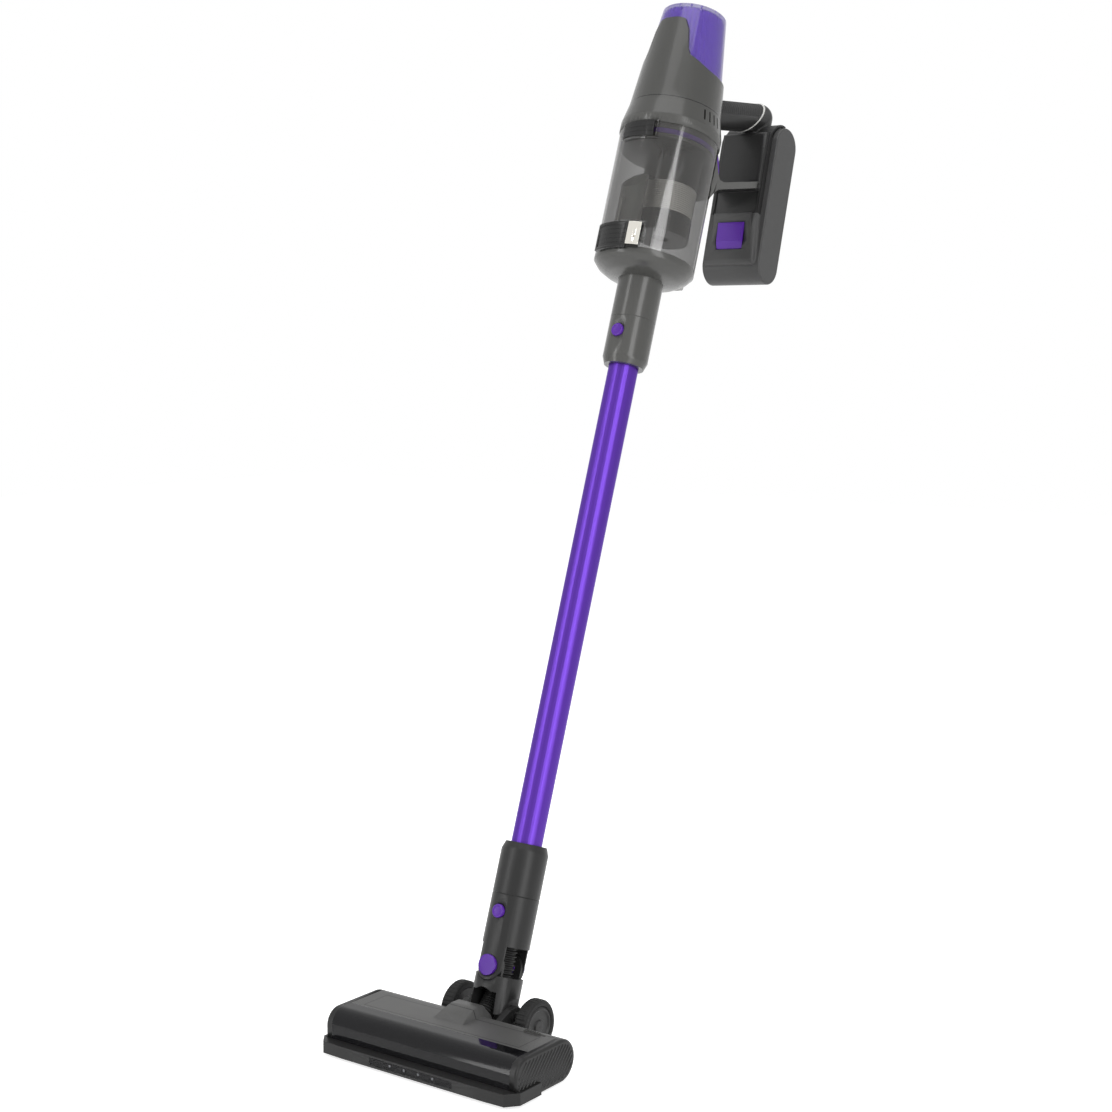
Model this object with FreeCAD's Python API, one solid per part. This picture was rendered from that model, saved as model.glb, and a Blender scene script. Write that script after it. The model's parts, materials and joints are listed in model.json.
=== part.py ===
import FreeCAD, Part
import math
import os

# Cordless stick vacuum, millimetres.
# Two working frames share the pitch axis of the floor head as their zero:
#   wand frame: Z up the wand, Y to the rear, X across. It leans back by LEAN.
#   floor frame: Z up, Y to the rear, X across. The floor is FLOOR_DROP below the axis.
# The last step turns the wand frame back by LEAN and moves everything so that the
# middle of the hand grip is at the origin.

V = FreeCAD.Vector

# ---- general -------------------------------------------------------------------
LEAN = 19.5            # lean of the wand from vertical, degrees
GAP = 0.3              # space between bodies that move past each other
FIT = 0.05             # radial running clearance of pins and shafts
SHELL = 2.4            # usual wall of a moulded casing

# ---- wand and its two sockets ----------------------------------------------------
TUBE_R = 16.0
TUBE_WALL = 1.3
NECK_R = 24.4          # outer radius of the neck, the foot collar and the yoke
SWING_Z = 46.0         # pitch axis to side-swing axis
COLLAR_SEAM = 72.0     # side-swing axis to the seam under the foot collar
COLLAR_LENGTH = 53.0
EXPOSED_TUBE = 513.0   # the metal tube, from the mouth of one socket to the other
NECK_PLUG = 58.0       # end plug beyond the tube in the neck
FOOT_PLUG = 83.0       # ... and in the foot collar
PLUG_EASE = 0.3        # the plugs are this much slimmer than the tube
PLUG_WALL = 2.6
LIP_HEIGHT = 8.0       # chamfered mouth of each socket
SEAM_RISE = 51.5       # neck mouth to the seam over the wand button
NECK_RISE = 44.5       # that seam to the underside of the lid
BUTTON_R = 7.0
BUTTON_DROP = 17.6     # seam to the middle of the wand button
BUTTON_TRAVEL = 1.5
BUTTON_PROUD = 2.0

# ---- dust cup --------------------------------------------------------------------
CUP_R = 54.4
CUP_WALL = 2.2
CUP_LENGTH = 141.0
LID_DEPTH = 21.0       # underside of the lid to the bottom edge of the cup
LID_FLOOR = 3.0
DUCT_R = 13.5
DUCT_WALL = 1.8
DUCT_ROOM = 3.5        # between the duct and the wall of the cup
DUCT_ANGLE = 14.8      # the duct stands left of the front by this many degrees
DUCT_LENGTH = 96.0
DUCT_BEVEL = 28.0      # how much lower the mouth is at the front than at the back
HINGE_REACH = 6.6      # lid hinge behind the wall of the cup
HINGE_PIN_R = 1.6
MESH_ROOM = 8.2        # between the cyclone and the wall of the cup
CYCLONE_GAP = 3.7      # between the cyclone and the duct
SHROUD_LENGTH = 36.0
MESH_LENGTH = 32.0
SKIRT_LENGTH = 24.0

# ---- motor housing and filter ------------------------------------------------------
RING_STEP = 1.1        # the rim ring stands proud of the cup
RING_HEIGHT = 9.5
BAND_HEIGHT = 22.0
BAND_DRAW = 4.9        # how much the band narrows
CONE_HEIGHT = 95.5     # seam over the band to the tip of the front panel
CONE_DRAW = 9.6        # how much the housing narrows above the band
SHOULDER_HEIGHT = 39.5 # seam to the rear edge of the housing
PANEL_HALF = 20.0      # half width of the front panel near its tip
FILTER_SKIRT = 2.4     # housing wall outside the filter at the shoulder
FILTER_DRAW = 8.8      # how much the filter cap narrows
FILTER_HEIGHT = 74.5
FILTER_PULL_ANGLE = 12.0
VENT_COUNT = 4
VENT_WIDTH = 2.2
VENT_PITCH = 8.5       # degrees
MOTOR_R = 24.0
MOTOR_LENGTH = 76.0
IMPELLER_R = 19.0
SHAFT_R = 2.0

# ---- handle and battery -------------------------------------------------------------
BAR_R = 16.5
BAR_WALL = 3.0
BAR_ANGLE = 22.2       # the bar rises to the rear
BAR_ROOT_Y = 86.0      # a point on the bar's centre line
BAR_ROOT_RISE = 62.0   # ... above the bottom of the rim ring
BAR_MITRE_Y = 144.5
MITRE_ANGLE = 27.0     # lean of the joint between the bar and the elbow
ELBOW_Y = 163.0
GRIP_Y = 105.0         # middle of the hand grip, the origin of the finished part
DOCK_TILT = 3.5
DOCK_FRONT = 145.5
DOCK_BACK = 157.0
DOCK_HALF = 29.0
DOCK_SIDE = 31.0
PACK_BACK = 201.5
PACK_HALF = 38.0
PACK_LENGTH = 185.0
PACK_TOP = 1031.5
FOOT_FRONT = 149.5
FOOT_TOP = 921.5
FOOT_BOTTOM = 862.0
RAIL_HALF = 10.0
RAIL_DEPTH = 3.0
CELL_R = 9.0
CELL_LENGTH = 65.0
CELL_ROWS = 4
CELL_PITCH = 18.6
ARM_HALF = 28.0
ARM_THICK = 7.6
ARM_ANGLE = 24.0

# ---- floor head ------------------------------------------------------------------------
FLOOR_DROP = 33.0      # pitch axis to the floor
HEAD_HALF = 120.0
HEAD_FRONT = -116.0
HEAD_BACK = -23.0
HEAD_TOP = 11.0
HEAD_BOTTOM = -31.0
CAP_THICK = 8.0
BUMPER_FRONT = -127.5
BUMPER_TOP = -17.5
BUMPER_BOTTOM = -29.5
WINDOW_BACK = -87.0
PANEL_BACK = -58.0
BRUSH_Y = -87.0
BRUSH_Z = -13.0
BRUSH_CORE_R = 13.0
BRUSH_R = 19.3
BRUSH_HALF = 104.0
WHEEL_R = 27.0
WHEEL_Y = 7.6
WHEEL_INNER = 40.0
WHEEL_OUTER = 54.0
AXLE_R = 3.0
DRIVE_Y = -42.0
DRIVE_Z = -10.0
MOTOR_PULLEY_R = 5.0
BRUSH_PULLEY_R = 11.0
BELT_WIDTH = 5.0
BELT_THICK = 1.6

# ---- radii and places that follow from those sizes ---------------------------------------------
RING_R = CUP_R + RING_STEP
BAND_TOP_R = RING_R - BAND_DRAW
CONE_TOP_R = BAND_TOP_R - CONE_DRAW
HINGE_Y = CUP_R + HINGE_REACH
ARM_FRONT = RING_R + 0.5
DUCT_OUT = CUP_R - CUP_WALL - DUCT_ROOM - DUCT_R
DUCT_X = -DUCT_OUT * math.sin(math.radians(DUCT_ANGLE))
DUCT_Y = -DUCT_OUT * math.cos(math.radians(DUCT_ANGLE))
MESH_R = CUP_R - CUP_WALL - DUCT_R - (DUCT_ROOM + CYCLONE_GAP + MESH_ROOM) / 2
CYCLONE_OUT = CUP_R - CUP_WALL - MESH_ROOM - MESH_R

# ---- stations worked out from the sizes above, in the wand frame -------------------------
COLLAR_BASE = SWING_Z + COLLAR_SEAM
COLLAR_TOP = COLLAR_BASE + COLLAR_LENGTH
NECK_MOUTH = COLLAR_TOP + EXPOSED_TUBE
NECK_SEAM = NECK_MOUTH + SEAM_RISE
LID_BASE = NECK_SEAM + NECK_RISE
CUP_BASE = LID_BASE + LID_DEPTH
CUP_TOP = CUP_BASE + CUP_LENGTH
RING_TOP = CUP_TOP + RING_HEIGHT
BAND_TOP = RING_TOP + BAND_HEIGHT
PANEL_TIP = BAND_TOP + CONE_HEIGHT
SHOULDER = BAND_TOP + SHOULDER_HEIGHT
TUBE_BOTTOM = COLLAR_TOP
TUBE_TOP = NECK_MOUTH
LIFT = CUP_TOP - 942.0   # how far the upper body stands above its drawn height


def rise(z):
    """A height of the handle and battery, moved with the top of the cup."""
    return z + LIFT


BAR_SLOPE = math.tan(math.radians(BAR_ANGLE))
BAR_DIR = V(0, math.cos(math.radians(BAR_ANGLE)), math.sin(math.radians(BAR_ANGLE)))


def bar_height(y):
    """Height of the bar's centre line at a distance y behind the wand axis."""
    return CUP_TOP + BAR_ROOT_RISE + 9.0 + BAR_SLOPE * (y - BAR_ROOT_Y)


# ---- small helpers ---------------------------------------------------------------------

def box(x0, x1, y0, y1, z0, z1):
    return Part.makeBox(x1 - x0, y1 - y0, z1 - z0, V(x0, y0, z0))


def disc(radius, z0, z1, x=0.0, y=0.0):
    return Part.makeCylinder(radius, z1 - z0, V(x, y, z0))


def tube(outer, inner, z0, z1, x=0.0, y=0.0):
    return disc(outer, z0, z1, x, y).cut(disc(inner, z0 - 1, z1 + 1, x, y))


def cross_disc(radius, x0, x1, y, z):
    """A cylinder along X."""
    return Part.makeCylinder(radius, x1 - x0, V(x0, y, z), V(1, 0, 0))


def cross_tube(outer, inner, x0, x1, y, z):
    return cross_disc(outer, x0, x1, y, z).cut(cross_disc(inner, x0 - 1, x1 + 1, y, z))


def deep_disc(radius, y0, y1, x, z):
    """A cylinder along Y."""
    return Part.makeCylinder(radius, y1 - y0, V(x, y0, z), V(0, 1, 0))


def turned(points, x=0.0, y=0.0):
    """A closed outline of (radius, height) points turned about an upright axis."""
    wire = Part.makePolygon([V(x + r, y, z) for r, z in points + points[:1]])
    return Part.Face(wire).revolve(V(x, y, 0), V(0, 0, 1), 360)


def side_prism(points, x0, x1):
    """A closed outline of (y, z) points drawn out along X."""
    wire = Part.makePolygon([V(x0, y, z) for y, z in points + points[:1]])
    return Part.Face(wire).extrude(V(x1 - x0, 0, 0))


def front_prism(points, y0, y1):
    """A closed outline of (x, z) points drawn out along Y."""
    wire = Part.makePolygon([V(x, y0, z) for x, z in points + points[:1]])
    return Part.Face(wire).extrude(V(0, y1 - y0, 0))


def rounded(shape, radius, pick):
    """Fillet the edges that pick accepts."""
    return shape.makeFillet(radius, [e for e in shape.Edges if pick(e)])


X_AXIS = V(1, 0, 0)
Y_AXIS = V(0, 1, 0)
Z_AXIS = V(0, 0, 1)


def joined(*shapes):
    whole = shapes[0]
    for shape in shapes[1:]:
        whole = whole.fuse(shape)
    return whole.removeSplitter()


def less(shape, *tools):
    for tool in tools:
        shape = shape.cut(tool)
    return shape


def mirrored(shape):
    return shape.mirror(V(0, 0, 0), X_AXIS)


def group(shapes):
    return Part.makeCompound(shapes)


def tilted(shape):
    """The dock and the battery stand at a small angle to the wand."""
    turn = shape.copy()
    turn.rotate(V(0, 150.0, rise(952.0)), X_AXIS, DOCK_TILT)
    return turn


GRIP_POINT = V(0, GRIP_Y, bar_height(GRIP_Y))
GRIP_POINT = FreeCAD.Rotation(X_AXIS, -LEAN).multVec(GRIP_POINT)


def save(name, shape, leaning):
    """Place a piece in the finished part's frame and write it."""
    placed = shape.copy()
    if leaning:
        placed.rotate(V(0, 0, 0), X_AXIS, -LEAN)
    placed.translate(GRIP_POINT * -1.0)
    if not placed.isValid():
        raise ValueError(name + " is not a valid solid")
    placed.exportStep("parts/" + name + ".step")
    print(name, len(placed.Solids), round(placed.Volume, 1))


# ---- cones of the housing and the filter ---------------------------------------------------

def housing_radius(z):
    return BAND_TOP_R + (CONE_TOP_R - BAND_TOP_R) * (z - BAND_TOP) / CONE_HEIGHT


DECK_TOP = RING_TOP + 5.0
FILTER_BASE = SHOULDER + GAP
FILTER_TOP = FILTER_BASE + FILTER_HEIGHT
FILTER_BASE_R = housing_radius(FILTER_BASE) - FILTER_SKIRT
FILTER_TOP_R = FILTER_BASE_R - FILTER_DRAW


def filter_radius(z):
    return FILTER_BASE_R + (FILTER_TOP_R - FILTER_BASE_R) * (z - FILTER_BASE) / FILTER_HEIGHT


def filter_cone(z0, z1, grow):
    return Part.makeCone(filter_radius(z0) + grow, filter_radius(z1) + grow, z1 - z0, V(0, 0, z0))


# ---- main unit -----------------------------------------------------------------------------

def housing_outline():
    """Front outline of the housing: full width below, a tall panel in the middle above."""
    right = [
        (RING_R + 2, RING_TOP),
        (RING_R + 2, SHOULDER),
        (PANEL_HALF + 26, SHOULDER + 0.5),
        (PANEL_HALF + 15, SHOULDER + 9),
        (PANEL_HALF + 8.5, SHOULDER + 13),
        (PANEL_HALF + 5.5, SHOULDER + 20),
        (PANEL_HALF + 1, SHOULDER + 43),
        (PANEL_HALF - 4.5, PANEL_TIP - 1.5),
        (PANEL_HALF - 12, PANEL_TIP),
    ]
    return right + [(-x, z) for x, z in reversed(right)]


def motor_housing():
    outer = turned([
        (0, RING_TOP), (RING_R, RING_TOP), (BAND_TOP_R, BAND_TOP),
        (CONE_TOP_R, PANEL_TIP), (0, PANEL_TIP),
    ])
    reach = RING_R + 15
    front = outer.common(front_prism(housing_outline(), -reach, 0))
    rear = outer.common(box(-reach, reach, 0, reach, RING_TOP, SHOULDER))
    solid = front.fuse(rear)
    seat_r = filter_radius(SHOULDER + GAP) - SHELL - 1.4
    below = turned([
        (0, RING_TOP - 1), (RING_R - SHELL, RING_TOP - 1), (RING_R - SHELL, RING_TOP),
        (BAND_TOP_R - SHELL, BAND_TOP),
        (BAND_TOP_R - SHELL - 3.4, SHOULDER - 8), (seat_r, SHOULDER - 6), (seat_r, SHOULDER + 1), (0, SHOULDER + 1),
    ])
    above = filter_cone(SHOULDER, PANEL_TIP + 1, GAP + 0.1)
    deck = turned([
        (MOTOR_R - 6, DECK_TOP - 3), (RING_R - 1.8, DECK_TOP - 3),
        (RING_R - 1.8, DECK_TOP), (MOTOR_R - 6, DECK_TOP),
    ])
    shell = joined(less(solid, below, above), deck)
    slots = []
    middle_z = RING_TOP + 11.5
    for side in (-1, 1):
        for k in range(VENT_COUNT):
            turn = side * (85 + VENT_PITCH * (k - (VENT_COUNT - 1) / 2))
            slot = box(-VENT_WIDTH / 2, VENT_WIDTH / 2, -RING_R - 5, -RING_R + 15, middle_z - 6, middle_z + 6)
            slot.rotate(V(0, 0, 0), Z_AXIS, turn)
            slots.append(slot)
    return less(shell, *slots)


def rim_ring():
    """Ring over the cup with the plate that carries the cyclone and a spigot for the cup seal."""
    spigot_r = CUP_R - CUP_WALL - 2.0
    return turned([
        (18, CUP_TOP + 5), (spigot_r - 2.4, CUP_TOP + 5), (spigot_r - 2.4, CUP_TOP - 15),
        (spigot_r, CUP_TOP - 15), (spigot_r, CUP_TOP), (RING_R, CUP_TOP),
        (RING_R, RING_TOP), (18, RING_TOP),
    ])


def cup_seal():
    outer = CUP_R - CUP_WALL - GAP
    return tube(outer, CUP_R - CUP_WALL - 2.0, CUP_TOP - 11, CUP_TOP - 6)


CYCLONE_X = CYCLONE_OUT * math.sin(math.radians(DUCT_ANGLE))
CYCLONE_Y = CYCLONE_OUT * math.cos(math.radians(DUCT_ANGLE))
SHROUD_BASE = CUP_TOP - 15 - SHROUD_LENGTH
MESH_BASE = SHROUD_BASE - MESH_LENGTH
SKIRT_BASE = MESH_BASE - SKIRT_LENGTH


def cyclone_shroud():
    plate_r = CUP_R - CUP_WALL - 2.0
    plate = disc(plate_r, CUP_TOP - 18, CUP_TOP - 15)
    body = disc(MESH_R, SHROUD_BASE, CUP_TOP - 16, CYCLONE_X, CYCLONE_Y)
    bore = disc(MESH_R - 2, SHROUD_BASE - 1, CUP_TOP - 10, CYCLONE_X, CYCLONE_Y)
    return less(joined(plate, body), bore)


def mesh_screen():
    return tube(MESH_R - 0.4, MESH_R - 1.6, MESH_BASE, SHROUD_BASE, CYCLONE_X, CYCLONE_Y)


def cyclone_skirt():
    top = MESH_BASE
    return turned([
        (MESH_R - 1.5, top), (MESH_R, top), (MESH_R + 0.4, SKIRT_BASE), (10, SKIRT_BASE),
        (10, SKIRT_BASE + 2), (MESH_R - 1.5, SKIRT_BASE + 2),
    ], CYCLONE_X, CYCLONE_Y)


MOTOR_BASE = DECK_TOP


def motor_can():
    top = MOTOR_BASE + MOTOR_LENGTH
    shell = turned([
        (MOTOR_R - 1.6, MOTOR_BASE), (MOTOR_R, MOTOR_BASE), (MOTOR_R, top), (5.0, top),
        (5.0, top - 2), (MOTOR_R - 1.6, top - 2),
    ])
    carrier_z = MOTOR_BASE + 14
    carrier = tube(MOTOR_R - 1.6, 5.0, carrier_z, carrier_z + 2.5)
    holes = [
        Part.makeCylinder(3.2, 6, V(14 * math.cos(a), 14 * math.sin(a), carrier_z - 1))
        for a in [math.radians(60 * k) for k in range(6)]
    ]
    return less(joined(shell, carrier), *holes)


def motor_stator():
    base = MOTOR_BASE + 22
    return tube(MOTOR_R - 1.6, 11.0, base, base + 28)


def motor_bearings():
    low = MOTOR_BASE + 14
    high = MOTOR_BASE + MOTOR_LENGTH - 4
    return group([tube(5.0, SHAFT_R + FIT, z, z + 4) for z in (low, high)])


def motor_shaft():
    magnet_base = MOTOR_BASE + 22
    shaft = disc(SHAFT_R, MOTOR_BASE + 1.5, MOTOR_BASE + MOTOR_LENGTH)
    return joined(shaft, disc(9.5, magnet_base, magnet_base + 28))


def impeller():
    base = MOTOR_BASE + 2
    hub = turned([
        (SHAFT_R, base), (IMPELLER_R, base), (IMPELLER_R, base + 1.2), (5, base + 9), (SHAFT_R, base + 9),
    ])
    blades = []
    for k in range(9):
        blade = box(4.0, IMPELLER_R - 0.3, -0.6, 0.6, base + 1.0, base + 8)
        blade.rotate(V(0, 0, 0), Z_AXIS, 40 * k)
        blades.append(blade)
    bore = disc(SHAFT_R, base - 1, base + 12)
    return less(joined(hub, *blades), bore)


def filter_cap():
    wall = 2.0
    outer = filter_cone(FILTER_BASE, FILTER_TOP, 0)
    inner = filter_cone(FILTER_BASE - 1, FILTER_TOP - 3, -wall)
    return less(outer, inner)


def filter_element():
    base = FILTER_BASE + 1.5
    top = FILTER_TOP - 3.2
    outer = filter_cone(base, top, -2.6)
    return less(outer, Part.makeCone(MOTOR_R + 4.5, MOTOR_R + 2.5, top - base + 2, V(0, 0, base - 1)))


def filter_seal():
    """Soft ring under the filter that seats in the mouth of the housing."""
    outer = filter_radius(FILTER_BASE) - 2.5
    seat_r = filter_radius(SHOULDER + GAP) - SHELL - 1.4 - 1.6
    return turned([
        (MOTOR_R + 4.6, FILTER_BASE - 4), (seat_r, FILTER_BASE - 4), (seat_r, FILTER_BASE),
        (outer, FILTER_BASE), (outer, FILTER_BASE + 1.4), (MOTOR_R + 4.6, FILTER_BASE + 1.4),
    ])


# ---- handle ---------------------------------------------------------------------------------

def bar_point(y):
    return V(0, y, bar_height(y))


MITRE_POINT = bar_point(BAR_MITRE_Y)
MITRE_NORMAL = V(0, math.cos(math.radians(MITRE_ANGLE)), -math.sin(math.radians(MITRE_ANGLE)))


def beyond_mitre(shift=0.0):
    """Everything behind the mitre plane of the bar, moved along the plane's normal."""
    slab = Part.makeBox(300, 300, 300, V(-150, -150, 0))
    turn = FreeCAD.Rotation(Z_AXIS, MITRE_NORMAL)
    slab.Placement = FreeCAD.Placement(MITRE_POINT + MITRE_NORMAL * shift, turn)
    return slab


def bar_rod(radius, y0, y1):
    start = bar_point(y0)
    return Part.makeCylinder(radius, (bar_point(y1) - start).Length, start, BAR_DIR)


def housing_body():
    """The housing's outside as one block, to end the bar on."""
    return turned([
        (0, RING_TOP), (RING_R, RING_TOP), (BAND_TOP_R, BAND_TOP), (CONE_TOP_R, PANEL_TIP), (0, PANEL_TIP),
    ])


GRIP_START = BAND_TOP_R + 5.4
GRIP_THICK = 2.4


def grip_cover():
    """Upper half of the bar between the housing and the trim ring."""
    half = box(-30, 30, 0, 400, 0, 60)
    half.Placement = FreeCAD.Placement(V(0, 0, bar_height(0)), FreeCAD.Rotation(X_AXIS, BAR_ANGLE))
    rod = bar_rod(BAR_R, GRIP_START, 200).cut(bar_rod(BAR_R - GRIP_THICK, 0, 220))
    return rod.common(half).cut(beyond_mitre(-1.2))


def handle_bar():
    bar = bar_rod(BAR_R, 20, 200).cut(bar_rod(BAR_R - BAR_WALL - GRIP_THICK, 0, 220))
    bar = less(bar, beyond_mitre(-1.2), housing_body(), disc(200, 0, RING_TOP))
    return bar.cut(grip_cover())


def grip_pad():
    return grip_cover()


def trim_ring():
    ring = bar_rod(BAR_R + 0.6, 100, 200).cut(bar_rod(BAR_R - 2.2, 50, 220))
    return less(ring, beyond_mitre(0.6)).common(beyond_mitre(-1.2))


def rear_spine():
    """Curved web behind the cup that joins the rim ring to the lower arm."""
    foot = arm_height(ARM_FRONT) - 11
    web = tube(RING_R + 7.0, RING_R + 1.0, foot, RING_TOP)
    web = web.common(box(-ARM_HALF, ARM_HALF, 20, RING_R + 30, foot, RING_TOP))
    neck = tube(RING_R + 2.0, RING_R, CUP_TOP + 1, RING_TOP)
    neck = neck.common(box(-ARM_HALF, ARM_HALF, 20, RING_R + 30, foot, RING_TOP + 1))
    return joined(web, neck)


def arm_height(y):
    """Underside of the lower arm."""
    return rise(909.0) + math.tan(math.radians(ARM_ANGLE)) * (y - ARM_FRONT)


TRIGGER_Y = RING_R + 14.5
TRIGGER_Z = rise(972.0)
TRIGGER_HALF = 8.0
TRIGGER_PIN_R = 2.2


def lower_arm():
    """Lower arm of the loop with the spine it grows from and the lugs of the trigger."""
    thick = ARM_THICK / math.cos(math.radians(ARM_ANGLE))
    root = RING_R + 6.5
    arm = side_prism([
        (root - 6, arm_height(root - 6) - 10), (root + 2, arm_height(root) - 2),
        (root + 8, arm_height(root + 8)),
        (DOCK_FRONT + 6, arm_height(DOCK_FRONT + 6)),
        (DOCK_FRONT + 6, arm_height(DOCK_FRONT + 6) + thick),
        (root + 16, arm_height(root + 16) + thick),
        (root + 7, arm_height(root + 7) + thick + 3),
        (root + 2, arm_height(root + 2) + thick + 10),
        (root - 6, arm_height(root - 6) + thick + 26),
    ], -ARM_HALF, ARM_HALF)
    arm = arm.cut(disc(RING_R + 2, 0, 2000))
    arm = arm.cut(tilted(box(-80, 80, DOCK_FRONT, 300, 0, 2000)))
    lugs = []
    for side in (-1, 1):
        inner = side * (TRIGGER_HALF + GAP)
        outer = side * (TRIGGER_HALF + GAP + 3.0)
        lug = side_prism([
            (RING_R + 2, TRIGGER_Z - 9), (TRIGGER_Y + 1, TRIGGER_Z - 4.5), (TRIGGER_Y + 4.5, TRIGGER_Z),
            (TRIGGER_Y + 1, TRIGGER_Z + 4.5), (RING_R + 2, TRIGGER_Z + 9),
        ], min(inner, outer), max(inner, outer))
        lugs.append(lug)
    high_web = tube(RING_R + 7.0, RING_R, RING_TOP, TRIGGER_Z + 9)
    high_web = high_web.common(box(-14, 14, 20, RING_R + 30, RING_TOP, TRIGGER_Z + 9))
    solid = joined(rear_spine(), arm, high_web, *lugs)
    pin_hole = cross_disc(TRIGGER_PIN_R + FIT, -20, 20, TRIGGER_Y, TRIGGER_Z)
    return less(solid, pin_hole, housing_body())


def power_trigger():
    """Curved finger blade with its two trunnions, behind the cup."""
    tip_y = TRIGGER_Y + 25.0
    tip_z = arm_height(TRIGGER_Y + 27.0) + ARM_THICK / math.cos(math.radians(ARM_ANGLE)) + 1.2
    high_back = V(0, TRIGGER_Y + 3.5, TRIGGER_Z + 3)
    high_front = V(0, TRIGGER_Y - 3.5, TRIGGER_Z - 2)
    tip_back = V(0, tip_y, tip_z)
    tip_front = V(0, tip_y - 5, tip_z)
    back = Part.Arc(high_back, V(0, TRIGGER_Y + 20.5, TRIGGER_Z - 17), tip_back)
    front = Part.Arc(tip_front, V(0, TRIGGER_Y + 10.5, TRIGGER_Z - 17), high_front)
    low = Part.LineSegment(tip_back, tip_front)
    high = Part.LineSegment(high_front, high_back)
    wire = Part.Wire([back.toShape(), low.toShape(), front.toShape(), high.toShape()])
    blade = Part.Face(wire).extrude(V(2 * TRIGGER_HALF, 0, 0))
    blade.translate(V(-TRIGGER_HALF, 0, 0))
    boss = cross_disc(4.2, -TRIGGER_HALF, TRIGGER_HALF, TRIGGER_Y, TRIGGER_Z)
    reach = TRIGGER_HALF + GAP + 2.6
    return joined(blade, boss, cross_disc(TRIGGER_PIN_R, -reach, reach, TRIGGER_Y, TRIGGER_Z))


def elbow_centre():
    return bar_point(ELBOW_Y)


FOOT_TOP_Z = rise(FOOT_TOP)


def battery_dock():
    """Elbow of the handle, the casing that carries the battery and the roof over it."""
    bend = elbow_centre()
    rod = bar_rod(BAR_R, 120, ELBOW_Y)
    corner = Part.makeSphere(BAR_R, bend)
    leg = Part.makeCylinder(BAR_R, bend.z - rise(1000.0), V(0, ELBOW_Y, rise(1000.0)))
    front_block = box(-DOCK_HALF, DOCK_HALF, DOCK_FRONT, DOCK_BACK, rise(955.0), rise(1018.0))
    front_block = rounded(front_block, 5.0, lambda e: e.BoundBox.YMax < DOCK_FRONT + 0.1)
    low_block = box(-DOCK_SIDE, DOCK_SIDE, DOCK_FRONT + 6.5, DOCK_BACK, FOOT_TOP_Z + GAP, rise(1018.0))
    side_walls = [
        box(side * DOCK_SIDE - (3 if side > 0 else 0), side * DOCK_SIDE + (0 if side > 0 else 3),
            DOCK_FRONT + 4.5, DOCK_BACK, FOOT_TOP_Z + GAP, rise(1018.0))
        for side in (-1, 1)
    ]
    sill = box(-DOCK_HALF, DOCK_HALF, DOCK_FRONT, DOCK_BACK, rise(948.0), rise(955.0))
    radius = (PACK_BACK - DOCK_BACK) / 2.0
    crown_y = DOCK_BACK + radius
    crown_z = rise(PACK_TOP) - radius
    roof = cross_tube(radius + 4.2, radius + GAP + 0.4, -DOCK_SIDE, DOCK_SIDE, crown_y, crown_z)
    roof = roof.common(box(-60, 60, 0, crown_y + 2, crown_z, 2000))
    chin = box(-DOCK_SIDE, DOCK_SIDE, DOCK_BACK - 4.2, DOCK_BACK, crown_z - 12, crown_z + 2)
    rail = box(-RAIL_HALF, RAIL_HALF, DOCK_BACK, DOCK_BACK + RAIL_DEPTH, rise(934.0), rise(1004.0))
    dock = tilted(joined(front_block, low_block, sill, *side_walls, roof, chin, rail))
    room = tilted(pack_envelope(GAP))
    upper = joined(rod, corner, leg).common(beyond_mitre(0.6)).cut(room)
    hollow = tilted(box(-20, 20, DOCK_FRONT + 3, DOCK_BACK - 2.5, rise(960.0), rise(1005.0)))
    return less(joined(dock, upper), hollow, *handle_screws().Solids)


def pack_envelope(grow):
    """Stadium outline of the battery pack, standing behind the dock."""
    radius = (PACK_BACK - DOCK_BACK) / 2.0 - GAP / 2 + grow
    y = (PACK_BACK + DOCK_BACK) / 2.0 + GAP / 2
    top = rise(PACK_TOP) - (radius - grow)
    low = rise(PACK_TOP) - PACK_LENGTH + (radius - grow)
    half = PACK_HALF + grow
    middle = box(-half, half, y - radius, y + radius, low, top)
    return joined(middle, cross_disc(radius, -half, half, y, top), cross_disc(radius, -half, half, y, low))


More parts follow.
